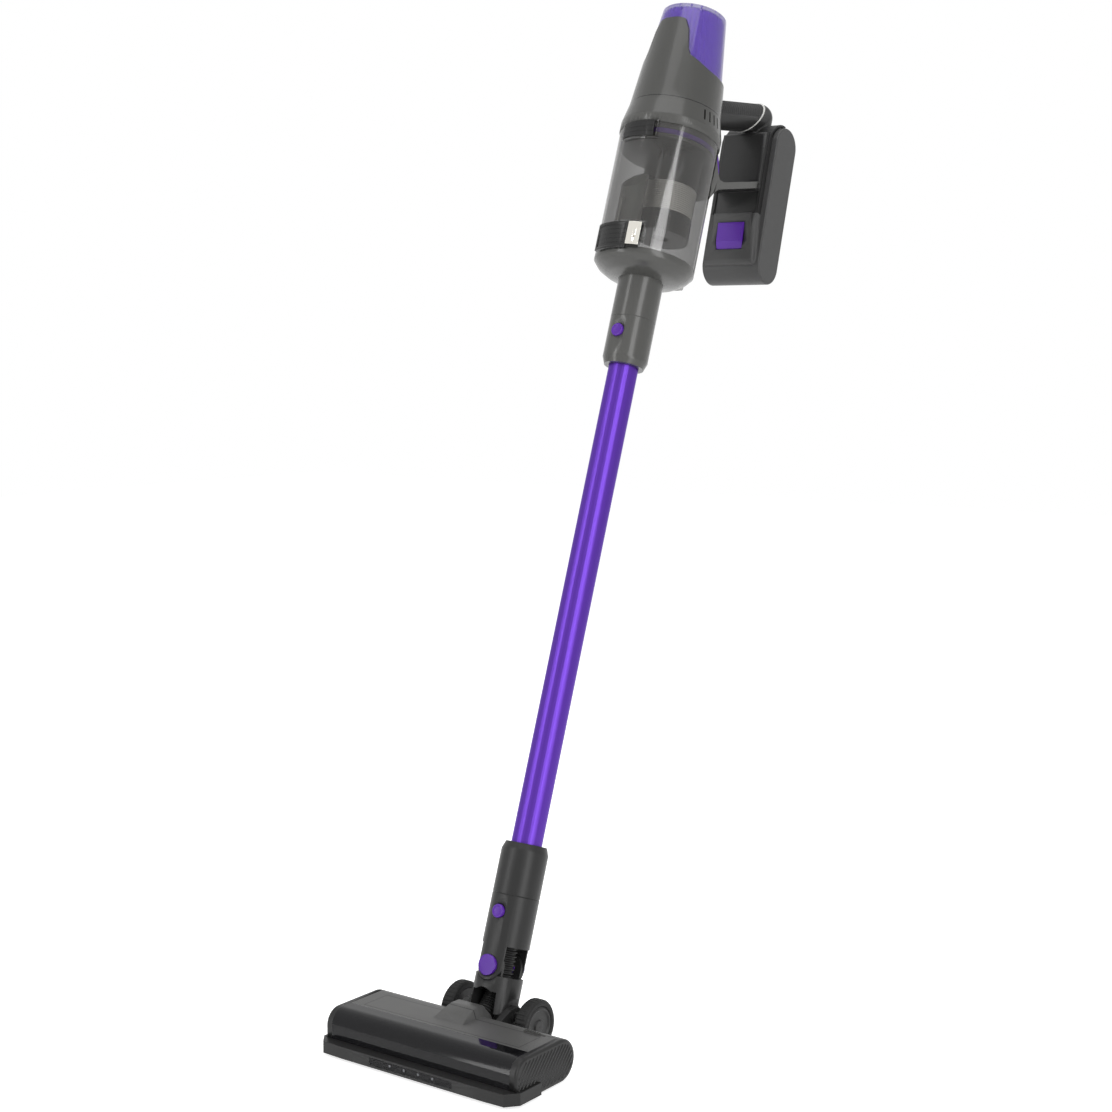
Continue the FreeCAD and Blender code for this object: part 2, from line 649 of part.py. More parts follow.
def battery_case():
    pack = pack_envelope(0)
    on_side = lambda e: abs(abs(e.BoundBox.XMin) - PACK_HALF) < 0.01 and e.BoundBox.XLength < 0.01
    pack = rounded(pack, 2.0, on_side)
    foot = box(-DOCK_SIDE, DOCK_SIDE, FOOT_FRONT, DOCK_BACK + 8, rise(FOOT_BOTTOM), FOOT_TOP_Z)
    foot_base = rise(FOOT_BOTTOM) + 0.1
    foot = rounded(foot, 6.0, lambda e: e.BoundBox.YMax < FOOT_FRONT + 0.1 and e.BoundBox.ZMax < foot_base)
    wedge = side_prism([
        (FOOT_FRONT + 1, FOOT_TOP_Z), (DOCK_FRONT + 1.0, FOOT_TOP_Z), (FOOT_FRONT + 1, rise(878.0)),
    ], -DOCK_HALF + 4, DOCK_HALF - 4)
    body = joined(pack, foot, wedge)
    wall = 2.2
    radius = (PACK_BACK - DOCK_BACK) / 2.0 - GAP / 2 - wall
    y = (PACK_BACK + DOCK_BACK) / 2.0 + GAP / 2
    top = rise(PACK_TOP) - radius - wall - GAP
    low = rise(PACK_TOP) - PACK_LENGTH + radius + wall
    inside = joined(
        box(-PACK_HALF + wall, PACK_HALF - wall, y - radius + 3.3, y + radius, low, top - 2),
        cross_disc(radius - 3.3, -PACK_HALF + wall, PACK_HALF - wall, y, low),
    )
    groove = box(-RAIL_HALF - 0.4, RAIL_HALF + 0.4, DOCK_BACK - 1, DOCK_BACK + RAIL_DEPTH + 0.5,
                 rise(933.0), rise(1080.0))
    pocket = box(-BATTERY_BUTTON_HALF - 0.4, BATTERY_BUTTON_HALF + 0.4, DOCK_FRONT - 5, DOCK_BACK + 1.5,
                 rise(879.0), rise(911.0))
    return tilted(less(body, inside, groove, pocket))


BATTERY_BUTTON_HALF = 17.0


def battery_button():
    key = side_prism([
        (DOCK_FRONT + 0.5, rise(909.0)), (DOCK_FRONT + 2.0, rise(888.0)), (DOCK_FRONT + 5.5, rise(880.0)),
        (DOCK_BACK - 3.5, rise(880.0)), (DOCK_BACK - 3.5, rise(910.0)), (DOCK_FRONT + 0.5, rise(910.0)),
    ], -BATTERY_BUTTON_HALF, BATTERY_BUTTON_HALF)
    return tilted(key)


def battery_cells():
    cells = []
    y_front = DOCK_BACK + RAIL_DEPTH + 2.9 + CELL_R
    z_low = rise(PACK_TOP) - PACK_LENGTH + 32.5
    for k in range(2 * CELL_ROWS - 1):
        column = k % 2
        row = k // 2
        z = z_low + row * CELL_PITCH
        y = y_front + column * 2 * CELL_R
        cells.append(cross_disc(CELL_R - 0.1, -CELL_LENGTH / 2, CELL_LENGTH / 2, y, z))
    return tilted(group(cells))


def battery_board():
    face = DOCK_BACK + 6.1
    board = box(-30, 30, face, face + 1.6, rise(957.0), rise(1000.0))
    parts = [box(-25 + 14 * k, -17 + 14 * k, face + 1.6, face + 5, rise(968.0), rise(980.0)) for k in range(4)]
    return tilted(joined(board, *parts))


def control_board():
    board = box(-18, 18, DOCK_FRONT + 5.0, DOCK_FRONT + 6.4, rise(962.0), rise(1003.0))
    face = DOCK_FRONT + 6.4
    parts = [box(-12 + 10 * k, -6 + 10 * k, face, face + 2.0, rise(975.0), rise(985.0)) for k in range(3)]
    return tilted(joined(board, *parts))


def trigger_switch():
    """Small switch on the spine that the trigger works."""
    return box(-6, 6, RING_R + 7.0, RING_R + 11.0, TRIGGER_Z - 21, TRIGGER_Z - 11)


def handle_screws():
    screws = []
    for x in (-22, 22):
        for z in (966.0, 1008.0):
            shank = deep_disc(1.4, DOCK_BACK - 4.0, DOCK_BACK - 0.4, x, rise(z))
            head = deep_disc(2.6, DOCK_BACK - 1.6, DOCK_BACK - 0.2, x, rise(z))
            screws.append(tilted(joined(shank, head)))
    return group(screws)


# ---- dust cup and lid ---------------------------------------------------------------------------

LATCH_TOP = CUP_TOP - 1.5
LATCH_BASE = CUP_TOP - 18.0
LATCH_FROM = -22.0     # degrees round the cup from the front, the upper latch
LATCH_TO = 17.0
CLASP_FROM = -32.0     # the same for the clasp of the lid
CLASP_MID = 11.0
CLASP_TO = 25.0
CLASP_BASE = CUP_BASE - 4.0
CLASP_TOP = CUP_BASE + 25.0
CLASP_GAP = 1.6        # degrees of side room, so that a pressed latch stays clear


def sector(inner, outer, z0, z1, start, end):
    """Part of a ring between two angles, counted from the front towards +X."""
    face = Part.makePolygon([V(inner, 0, z0), V(outer, 0, z0), V(outer, 0, z1), V(inner, 0, z1), V(inner, 0, z0)])
    part = Part.Face(face).revolve(V(0, 0, 0), Z_AXIS, end - start)
    part.rotate(V(0, 0, 0), Z_AXIS, start - 90)
    return part


HINGE_Z = CUP_BASE - 4.0


def cup_shell():
    wall = tube(CUP_R, CUP_R - CUP_WALL, CUP_BASE, CUP_TOP - GAP)
    frames = [
        sector(CUP_R - 0.5, CUP_R + 3.2, LATCH_BASE - 2, CUP_TOP - GAP, LATCH_FROM - 4, LATCH_TO + 4),
        sector(CUP_R - 0.5, CUP_R + 3.2, CUP_BASE + 1, CLASP_TOP + 2.4, CLASP_FROM - 4, CLASP_TO + 4),
    ]
    recesses = [
        sector(CUP_R + 0.1, CUP_R + 9, LATCH_BASE - 0.4, CUP_TOP + 5, LATCH_FROM - CLASP_GAP, LATCH_TO + CLASP_GAP),
        sector(CUP_R + 0.1, CUP_R + 9, CUP_BASE - 9, CLASP_TOP + 0.4, CLASP_FROM - CLASP_GAP, CLASP_TO + CLASP_GAP),
    ]
    ears = []
    for side in (-1, 1):
        inner = side * (7.0 + GAP)
        outer = side * (11.0 + GAP)
        ear = joined(
            box(min(inner, outer), max(inner, outer), 40, HINGE_Y, HINGE_Z - 3.2, HINGE_Z + 10),
            cross_disc(3.2, min(inner, outer), max(inner, outer), HINGE_Y, HINGE_Z),
        )
        ear = ear.cut(disc(CUP_R - 1, 0, 2000))
        ear = ear.cut(box(-60, 60, 0, CUP_R + 1.2, 0, CUP_BASE))
        ears.append(ear)
    body = joined(wall, *frames, *ears)
    return less(body, *recesses, cross_disc(HINGE_PIN_R, -30, 30, HINGE_Y, HINGE_Z))


def inlet_duct():
    base = CUP_BASE + 0.8
    pipe = tube(DUCT_R, DUCT_R - DUCT_WALL, base, base + DUCT_LENGTH, DUCT_X, DUCT_Y)
    flange = tube(DUCT_R + 2.5, DUCT_R - 0.5, base, base + 2.0, DUCT_X, DUCT_Y)
    rib = box(DUCT_X - 1.2, DUCT_X + 1.2, -CUP_R + CUP_WALL - 0.0, DUCT_Y - DUCT_R + 1, base, base + 55)
    rib = rib.common(disc(CUP_R - CUP_WALL, base, base + 60))
    bevel = side_prism([
        (DUCT_Y - DUCT_R - 3, base + DUCT_LENGTH - DUCT_BEVEL - 3), (DUCT_Y + DUCT_R + 1, base + DUCT_LENGTH),
        (DUCT_Y + DUCT_R + 1, base + DUCT_LENGTH + 20), (DUCT_Y - DUCT_R - 3, base + DUCT_LENGTH + 20),
    ], -60, 60)
    return less(joined(pipe, flange, rib), bevel)


def cup_latch():
    """Press key that frees the cup from the rim ring."""
    key = sector(CUP_R + 2.4, CUP_R + 3.6, LATCH_BASE, LATCH_TOP, LATCH_FROM, LATCH_TO)
    nose = sector(CUP_R + 3.0, CUP_R + 6.0, LATCH_BASE + 6, LATCH_TOP, 9.0, LATCH_TO)
    return joined(key, nose)


def lid_clasp():
    """Press key that frees the lid from the cup."""
    inner = CUP_R + 2.0
    panel = sector(inner, CUP_R + 5.0, CLASP_BASE, CLASP_TOP, CLASP_FROM, CLASP_MID)
    panel = panel.cut(sector(CUP_R + 4.2, CUP_R + 9, CLASP_BASE + 3, CLASP_TOP - 3, CLASP_FROM + 3, CLASP_MID - 3))
    return joined(panel, sector(inner, CUP_R + 3.2, CLASP_BASE + 2, CLASP_TOP, CLASP_MID, CLASP_TO))


def clasp_plate():
    """Bright end plate of the clasp with its eye."""
    plate = sector(CUP_R + 3.2, CUP_R + 5.6, CLASP_BASE + 4, CLASP_TOP, CLASP_MID + 0.4, CLASP_TO)
    middle = math.radians((CLASP_MID + CLASP_TO) / 2 + 1)
    out = V(math.sin(middle), -math.cos(middle), 0)
    eye = Part.makeCylinder(1.6, 12, out * (CUP_R + 3.3) + V(0, 0, CLASP_BASE + 13), out)
    return plate.cut(eye)


def cup_lid():
    """Domed lid with the upper part of the neck, the air chamber to the duct and the hinge knuckle."""
    outer = turned([
        (0, LID_BASE), (NECK_R + 1, LID_BASE), (CUP_R - 14.4, LID_BASE + 3.5), (CUP_R - 5.4, LID_BASE + 9),
        (CUP_R, LID_BASE + 15.5), (CUP_R, CUP_BASE - GAP), (0, CUP_BASE - GAP),
    ])
    chamber = turned([
        (0, LID_BASE + 3), (NECK_R, LID_BASE + 3), (CUP_R - 15.4, LID_BASE + 6.3), (CUP_R - 8.4, LID_BASE + 10.5),
        (CUP_R - 4.9, CUP_BASE - GAP - LID_FLOOR), (0, CUP_BASE - GAP - LID_FLOOR),
    ])
    knuckle = joined(
        cross_disc(3.2, -7, 7, HINGE_Y, HINGE_Z),
        box(-7, 7, CUP_R - 3, HINGE_Y, HINGE_Z - 3.2, HINGE_Z),
    )
    port = disc(DUCT_R - DUCT_WALL, CUP_BASE - 6, CUP_BASE + 1, DUCT_X, DUCT_Y)
    pin_bore = cross_disc(HINGE_PIN_R + FIT, -30, 30, HINGE_Y, HINGE_Z)
    neck = turned([
        (0, NECK_SEAM), (NECK_R - 0.5, NECK_SEAM), (NECK_R, NECK_SEAM + 0.6), (NECK_R, LID_BASE + 1), (0, LID_BASE + 1),
    ])
    socket = disc(TUBE_R + GAP, NECK_SEAM - 1, PLUG_TOP + GAP)
    throat = disc(TUBE_R - 1.5, NECK_SEAM, LID_BASE + 5)
    return less(joined(less(outer, chamber), knuckle, neck), port, pin_bore, socket, throat)


def lid_hinge_pin():
    return cross_disc(HINGE_PIN_R, -11.2, 11.2, HINGE_Y, HINGE_Z)


PLUG_TOP = TUBE_TOP + NECK_PLUG
PLUG_BOTTOM = TUBE_BOTTOM - FOOT_PLUG
NECK_BUTTON_Z = NECK_SEAM - BUTTON_DROP
FOOT_BUTTON_Z = COLLAR_BASE - 17.9


def socket_button_bore(z):
    """Stepped pocket for a wand button in a socket's front wall."""
    return deep_disc(BUTTON_R + 0.2, -NECK_R - 5, -TUBE_R - 2.6, 0, z)


def neck_collar():
    body = turned([
        (TUBE_R + GAP, NECK_MOUTH), (NECK_R - 3, NECK_MOUTH), (NECK_R, NECK_MOUTH + LIP_HEIGHT),
        (NECK_R, NECK_SEAM - 0.6), (NECK_R - 0.5, NECK_SEAM), (TUBE_R + GAP, NECK_SEAM),
    ])
    return body.cut(socket_button_bore(NECK_BUTTON_Z))


def wand_button(z):
    inner = TUBE_R + 2.6 + BUTTON_TRAVEL + 1.2
    return deep_disc(BUTTON_R, -NECK_R - BUTTON_PROUD, -inner, 0, z)


# ---- wand -----------------------------------------------------------------------------------------

def wand_tube():
    return tube(TUBE_R, TUBE_R - TUBE_WALL, TUBE_BOTTOM, TUBE_TOP)


def end_plug(edge, outside):
    """Moulded plug with a spigot inside the tube and a body beyond it."""
    inside = edge + (22.0 if outside < edge else -22.0)
    bore = TUBE_R - PLUG_WALL - TUBE_WALL
    body = tube(TUBE_R - PLUG_EASE, bore, min(edge, outside), max(edge, outside))
    core = tube(TUBE_R - TUBE_WALL, bore, min(edge, inside), max(edge, inside))
    return joined(body, core)


def wand_end_plugs():
    return group([end_plug(TUBE_TOP, PLUG_TOP), end_plug(TUBE_BOTTOM, PLUG_BOTTOM)])


def wand_wires():
    wires = []
    for side in (-1, 1):
        angle = math.radians(90 + side * 12)
        reach = TUBE_R - TUBE_WALL - PLUG_WALL - 1.0
        wires.append(disc(0.9, PLUG_BOTTOM, PLUG_TOP, reach * math.cos(angle), reach * math.sin(angle)))
    return group(wires)


# ---- foot neck: collar, fork and yoke ------------------------------------------------------------

CHEEK_IN = 18.0
EAR_OUT = CHEEK_IN - GAP
EAR_IN = 14.2
FORK_TOP = SWING_Z + 21.0
YOKE_TOP = SWING_Z - 9.0
BOSS_R = 14.5
SWING_PIN_R = 6.0


def foot_collar():
    body = turned([
        (TUBE_R + GAP, COLLAR_BASE), (NECK_R - 0.5, COLLAR_BASE), (NECK_R, COLLAR_BASE + 0.6),
        (NECK_R, COLLAR_TOP - LIP_HEIGHT), (NECK_R - 3, COLLAR_TOP), (TUBE_R + GAP, COLLAR_TOP),
    ])
    return body


def foot_fork():
    body = turned([
        (EAR_IN, FORK_TOP), (NECK_R, FORK_TOP), (NECK_R, COLLAR_BASE - 0.6), (NECK_R - 0.5, COLLAR_BASE),
        (TUBE_R + GAP, COLLAR_BASE), (TUBE_R + GAP, PLUG_BOTTOM - GAP), (EAR_IN, PLUG_BOTTOM - GAP),
    ])
    cheeks = disc(NECK_R, SWING_Z - 30, FORK_TOP + 4)
    shape = joined(deep_disc(BOSS_R, -40, 40, 0, SWING_Z), box(-BOSS_R, BOSS_R, -40, 40, SWING_Z, FORK_TOP + 3))
    cheeks = cheeks.common(shape).cut(box(-40, 40, -CHEEK_IN, CHEEK_IN, 0, FORK_TOP + 10))
    flare = joined(cheeks, body)
    bores = deep_disc(SWING_PIN_R, -60, 60, 0, SWING_Z)
    flare = flare.cut(deep_disc(10.6, -60, -NECK_R + 2.4, 0, SWING_Z))
    flare = flare.cut(deep_disc(10.6, NECK_R - 2.4, 60, 0, SWING_Z))
    return less(flare, bores, socket_button_bore(FOOT_BUTTON_Z))


def swing_caps():
    """Front and rear pivot discs with the pins that the yoke turns on."""
    front = joined(
        deep_disc(10.5, -NECK_R - 1.4, -NECK_R + 2.4, 0, SWING_Z),
        deep_disc(SWING_PIN_R, -NECK_R + 2.0, -EAR_IN, 0, SWING_Z),
    )
    back = front.mirror(V(0, 0, 0), Y_AXIS)
    return group([front, back])


BARREL_R = 15.5
BARREL_HALF = 23.0
PITCH_PIN_R = 6.0
FORK_IN = BARREL_HALF + GAP + 0.2
FORK_OUT = FORK_IN + 7.0
INNER_HALF = HEAD_HALF - CAP_THICK


def yoke():
    skirt = disc(NECK_R, 0, YOKE_TOP).cut(box(BARREL_HALF, 60, -60, 60, -1, 18))
    skirt = skirt.cut(box(-60, -BARREL_HALF, -60, 60, -1, 18))
    ears = disc(NECK_R - 1.0, YOKE_TOP - 4, SWING_Z + BOSS_R)
    ear_half = BOSS_R - 0.6
    ear_shape = joined(deep_disc(ear_half, -40, 40, 0, SWING_Z), box(-ear_half, ear_half, -40, 40, 20, SWING_Z))
    ears = ears.common(ear_shape).common(box(-40, 40, -EAR_OUT, EAR_OUT, 0, 200))
    ears = ears.cut(box(-40, 40, -EAR_IN, EAR_IN, 0, 200))
    barrel = cross_disc(BARREL_R, -BARREL_HALF, BARREL_HALF, 0, 0)
    pins = cross_disc(PITCH_PIN_R, -FORK_OUT, FORK_OUT, 0, 0)
    body = joined(skirt, ears, barrel, pins)
    swing_room = deep_disc(BOSS_R + 0.5, -60, -CHEEK_IN + GAP, 0, SWING_Z)
    swing_room = swing_room.fuse(deep_disc(BOSS_R + 0.5, CHEEK_IN - GAP, 60, 0, SWING_Z))
    channel = disc(EAR_IN, 4, 80)
    throat = box(-EAR_IN, EAR_IN, -40, 6, -BARREL_R - 5, 21)
    arch = joined(box(-14, 14, -40, 0, 0, 14), deep_disc(14, -40, 0, 0, 10))
    swing_bore = deep_disc(SWING_PIN_R + FIT, -60, 60, 0, SWING_Z)
    knee = Part.makeSphere(13.4, V(0, 0, 0))
    return less(body, swing_room, channel, throat, knee, arch, swing_bore)


def bellows(z0, z1, count, outer, inner, wall):
    """Corrugated hose as a turned outline of ridges and valleys."""
    pitch = (z1 - z0) / count
    outside = []
    inside = []
    for k in range(count):
        base = z0 + k * pitch
        outside += [(inner, base), (outer, base + pitch / 2)]
        inside += [(inner - wall, base), (outer - wall, base + pitch / 2)]
    outside.append((inner, z1))
    inside.append((inner - wall, z1))
    return turned(outside + list(reversed(inside)))


HOSE_MEET = YOKE_TOP - 16.0   # the two hoses end here, inside the yoke


def upper_hose():
    return bellows(HOSE_MEET, FORK_TOP + 6, 12, 13.4, 11.2, 1.2)


# ---- floor head ------------------------------------------------------------------------------------

def head_section(inset):
    """Side outline of the brush housing, drawn in by inset: flat top, round nose and tail."""
    front = HEAD_FRONT + inset
    top = HEAD_TOP - inset
    low = HEAD_BOTTOM + inset
    back = HEAD_BACK - inset
    nose = 17.0 - inset
    mid = (top + low) / 2.0
    k = math.sqrt(0.5)
    tail = 21.0 - inset / 2
    edges = [
        Part.LineSegment(V(0, front, low), V(0, front, top - nose)),
        Part.Arc(V(0, front, top - nose), V(0, front + nose * (1 - k), top - nose * (1 - k)),
                 V(0, front + nose, top)),
        Part.LineSegment(V(0, front + nose, top), V(0, back - tail, top)),
        Part.Arc(V(0, back - tail, top), V(0, back, mid), V(0, back - tail, low)),
        Part.LineSegment(V(0, back - tail, low), V(0, front, low)),
    ]
    return Part.Wire([e.toShape() for e in edges])


def head_block(inset, x0, x1):
    face = Part.Face(head_section(inset))
    block = face.extrude(V(x1 - x0, 0, 0))
    block.translate(V(x0, 0, 0))
    return block


def end_cap(side):
    cap = head_block(0, INNER_HALF, HEAD_HALF)
    cap = rounded(cap, 3.0, lambda e: e.BoundBox.XMin > HEAD_HALF - 0.01)
    socket = cross_disc(AXLE_R + FIT, INNER_HALF - 1, INNER_HALF + 4, BRUSH_Y, BRUSH_Z)
    cap = cap.cut(socket)
    return cap if side > 0 else mirrored(cap)


def head_window():
    """Dark clear cover over the brush, from the top seam down to the bumper."""
    skin = head_block(0, -INNER_HALF, INNER_HALF).cut(head_block(SHELL, -INNER_HALF - 1, INNER_HALF + 1))
    return skin.common(box(-200, 200, -200, WINDOW_BACK, BUMPER_TOP + 0.2, 100))


SLIDER_X = 88.0
WHEEL_Z = WHEEL_R - FLOOR_DROP
BELT_X = -(BRUSH_HALF + 4.0)


def fork_arms(grow):
    """The two arms behind the head that carry the yoke and the wheels."""
    arms = []
    for side in (-1, 1):
        inner = side * (FORK_IN - grow)
        outer = side * (FORK_OUT + grow)
        x0 = min(inner, outer)
        x1 = max(inner, outer)
        arm = side_prism([
            (-60, HEAD_BOTTOM + 1 - grow), (2, HEAD_BOTTOM + 4 - grow), (WHEEL_Y + 7 + grow, -14),
            (WHEEL_Y + 7 + grow, 2), (4, 11 + grow), (-8, 11 + grow), (-24, 4 + grow), (-60, -6 + grow),
        ], x0, x1)
        arms.append(joined(arm, cross_disc(PITCH_PIN_R + 4 + grow, x0, x1, 0, 0)))
    return arms


SPOUT_Z = -6.0
SPOUT_END = -32.5


def hose_room():
    """Opening at the back of the head for the spout and the lower hose."""
    return Part.makeCylinder(15.0, 60, V(0, -52, SPOUT_Z), Y_AXIS)


def head_cover():
    """Top panel behind the window, with the hump that leads to the neck."""
    skin = head_block(0, -INNER_HALF, INNER_HALF).cut(head_block(SHELL, -INNER_HALF - 1, INNER_HALF + 1))
    skin = skin.common(box(-200, 200, WINDOW_BACK, 200, -10, 100))
    hump = side_prism([
        (-72, HEAD_TOP - 1), (-60, HEAD_TOP + 5), (-46, HEAD_TOP + 9.5), (-34, HEAD_TOP + 9),
        (-27, HEAD_TOP - 2),
        (-25, HEAD_TOP - 12), (-29, HEAD_TOP - 14), (-45, HEAD_TOP - 2),
    ], -26, 26)
    slope = [(40, 100), (40, HEAD_TOP - 20), (26, HEAD_TOP - 20), (14, HEAD_TOP + 12), (14, 100)]
    hump = hump.cut(front_prism(slope, -100, 0))
    hump = hump.cut(front_prism([(-x, z) for x, z in reversed(slope)], -100, 0))
    room = cross_disc(NECK_R + 1.2, -FORK_OUT - GAP, FORK_OUT + GAP, 0, 0)
    slider_seat = box(SLIDER_X - 13, SLIDER_X + 13, DRIVE_Y - 5, DRIVE_Y - 1.6, HEAD_TOP - 1.2, HEAD_TOP + 5)
    return less(joined(skin, hump), room, slider_seat, hose_room(), *fork_arms(0.2))


def head_base():
    """Lower shell: sole with the suction slot, walls, motor bay and the fork for the neck."""
    shell = head_block(0, -INNER_HALF, INNER_HALF).cut(head_block(SHELL, -INNER_HALF - 1, INNER_HALF + 1))
    shell = shell.common(box(-200, 200, -200, 200, HEAD_BOTTOM - 1, BUMPER_TOP))
    tail = head_block(0, -INNER_HALF, INNER_HALF).cut(head_block(SHELL, -INNER_HALF - 1, INNER_HALF + 1))
    tail = tail.common(box(-200, 200, WINDOW_BACK + 20, 200, BUMPER_TOP - 1, -10))
    slot = box(-BRUSH_HALF - 2, BRUSH_HALF + 2, BRUSH_Y - 17, BRUSH_Y + 17, HEAD_BOTTOM - 5, HEAD_BOTTOM + 6)
    wall_y = BRUSH_Y + BRUSH_R + 1.5
    divider = box(-INNER_HALF, INNER_HALF, wall_y, wall_y + 2, HEAD_BOTTOM + 1, HEAD_TOP - SHELL - 0.3)
    web = box(-FORK_OUT, FORK_OUT, -60, -26, HEAD_BOTTOM, HEAD_BOTTOM + 4)
    spout = Part.makeCylinder(12.5, SPOUT_END - wall_y, V(0, wall_y, SPOUT_Z), Y_AXIS)
    axles = [
        cross_disc(AXLE_R, FORK_OUT - 1, WHEEL_OUTER - 4.5, WHEEL_Y, WHEEL_Z),
        cross_disc(AXLE_R, -WHEEL_OUTER + 4.5, -FORK_OUT + 1, WHEEL_Y, WHEEL_Z),
    ]
    outlet = Part.makeCylinder(10.5, 60, V(0, BRUSH_Y + BRUSH_R, SPOUT_Z), Y_AXIS)
    belt_window = box(-INNER_HALF - 1, BELT_X + BELT_WIDTH, BRUSH_Y + BRUSH_R, BRUSH_Y + BRUSH_R + 6,
                      BRUSH_Z - 13.5, HEAD_TOP)
    cradle = box(BELT_X + 22, BELT_X + 52, DRIVE_Y - 8, DRIVE_Y + 8, HEAD_BOTTOM + 1, DRIVE_Z - 9)
    cradle = cradle.cut(cross_disc(12.0, -120, 0, DRIVE_Y, DRIVE_Z))
    body = joined(shell, tail, divider, web, cradle).cut(hose_room())
    body = joined(body, spout, *fork_arms(0), *axles)
    pin_bores = cross_disc(PITCH_PIN_R + FIT, -60, 60, 0, 0)
    return less(body, slot, outlet, pin_bores, belt_window)



def lower_hose():
    """Bent hose from the yoke down through the pitch axis to the head's spout."""
    lean = math.radians(LEAN)
    top = V(0, (HOSE_MEET - 0.1) * math.sin(lean), (HOSE_MEET - 0.1) * math.cos(lean))
    knee = V(0, 0.5, 1.5)
    low = V(0, SPOUT_END + 3.4, SPOUT_Z)
    drop = (knee - top).normalize()
    run = (low - knee).normalize()
    reach = 9.0
    a = knee - drop * reach
    b = knee + run * reach
    middle = (a + b) * 0.5 * 0.5 + knee * 0.5
    path = Part.Wire([
        Part.LineSegment(top, a).toShape(),
        Part.Arc(a, middle, b).toShape(),
        Part.LineSegment(b, low).toShape(),
    ])
    section = Part.Wire(Part.makeCircle(12.2, top, drop))
    hose = path.makePipeShell([section], True, False)
    bore = path.makePipeShell([Part.Wire(Part.makeCircle(10.8, top, drop))], True, False)
    return hose.cut(bore)


LENS_HALF = 52.0


def bumper():
    outline = [
        (-HEAD_HALF - 4, HEAD_FRONT + 34), (-HEAD_HALF - 4, BUMPER_FRONT + 13), (-HEAD_HALF + 6, BUMPER_FRONT + 1),
        (-HEAD_HALF + 30, BUMPER_FRONT), (HEAD_HALF - 30, BUMPER_FRONT), (HEAD_HALF - 6, BUMPER_FRONT + 1),
        (HEAD_HALF + 4, BUMPER_FRONT + 13), (HEAD_HALF + 4, HEAD_FRONT + 34),
        (HEAD_HALF, HEAD_FRONT + 34), (HEAD_HALF, HEAD_FRONT), (-HEAD_HALF, HEAD_FRONT), (-HEAD_HALF, HEAD_FRONT + 34),
    ]
    wire = Part.makePolygon([V(x, y, BUMPER_BOTTOM) for x, y in outline + outline[:1]])
    solid = Part.Face(wire).extrude(V(0, 0, BUMPER_TOP - BUMPER_BOTTOM))
    lens_room = box(-LENS_HALF, LENS_HALF, BUMPER_FRONT - 2, BUMPER_FRONT + 6, BUMPER_BOTTOM + 2.5, BUMPER_TOP - 2)
    return solid.cut(lens_room)


def led_lens():
    return box(-LENS_HALF, LENS_HALF, BUMPER_FRONT, BUMPER_FRONT + 1.8, BUMPER_BOTTOM + 2.5, BUMPER_TOP - 2)


def brush_roller():
    """Brush core with its axle ends and the belt wheel at the left."""
    core = cross_disc(BRUSH_CORE_R, -BRUSH_HALF, BRUSH_HALF, BRUSH_Y, BRUSH_Z)
    pulley = cross_disc(BRUSH_PULLEY_R, BELT_X - BELT_WIDTH / 2, -BRUSH_HALF, BRUSH_Y, BRUSH_Z)
    axle = cross_disc(AXLE_R, -INNER_HALF - 2, INNER_HALF + 2, BRUSH_Y, BRUSH_Z)
    return joined(core, pulley, axle)


def brush_bristles():
    """Bristle strips wound round the roller."""
    strips = []
    sleeve = cross_tube(BRUSH_R, BRUSH_CORE_R, -BRUSH_HALF + 4, BRUSH_HALF - 6, BRUSH_Y, BRUSH_Z)
    for k in range(4):
        wedge = [(BRUSH_Y, BRUSH_Z)]
        for angle in (math.radians(90 * k - 13), math.radians(90 * k + 13)):
            wedge.append((BRUSH_Y + 30 * math.cos(angle), BRUSH_Z + 30 * math.sin(angle)))
        strips.append(sleeve.common(side_prism(wedge, -BRUSH_HALF + 4, BRUSH_HALF - 6)))
    return group(strips)


def motor_pulley():
    wheel = cross_disc(MOTOR_PULLEY_R, BELT_X - BELT_WIDTH / 2, BELT_X + BELT_WIDTH / 2, DRIVE_Y, DRIVE_Z)
    shaft = cross_disc(1.6, BELT_X - BELT_WIDTH / 2, BELT_X + 14, DRIVE_Y, DRIVE_Z)
    return joined(wheel, shaft)


def drive_belt():
    """Flat belt: the hull of the two pulleys with clearance, hollowed."""
    def loop(grow):
        dy = DRIVE_Y - BRUSH_Y
        dz = DRIVE_Z - BRUSH_Z
        span = math.hypot(dy, dz)
        heading = math.atan2(dz, dy)
        lean = math.asin((BRUSH_PULLEY_R - MOTOR_PULLEY_R) / span)
        points = []
        for cy, cz, radius, sign in (
            (BRUSH_Y, BRUSH_Z, BRUSH_PULLEY_R + grow, 1), (DRIVE_Y, DRIVE_Z, MOTOR_PULLEY_R + grow, 1),
            (DRIVE_Y, DRIVE_Z, MOTOR_PULLEY_R + grow, -1), (BRUSH_Y, BRUSH_Z, BRUSH_PULLEY_R + grow, -1),
        ):
            angle = heading + sign * (math.pi / 2 - lean)
            points.append((cy + radius * math.cos(angle), cz + radius * math.sin(angle)))
        x0 = BELT_X - BELT_WIDTH / 2
        x1 = BELT_X + BELT_WIDTH / 2
        return joined(
            side_prism(points, x0, x1),
            cross_disc(BRUSH_PULLEY_R + grow, x0, x1, BRUSH_Y, BRUSH_Z),
            cross_disc(MOTOR_PULLEY_R + grow, x0, x1, DRIVE_Y, DRIVE_Z),
        )
    return loop(0.1 + BELT_THICK).cut(loop(0.1))


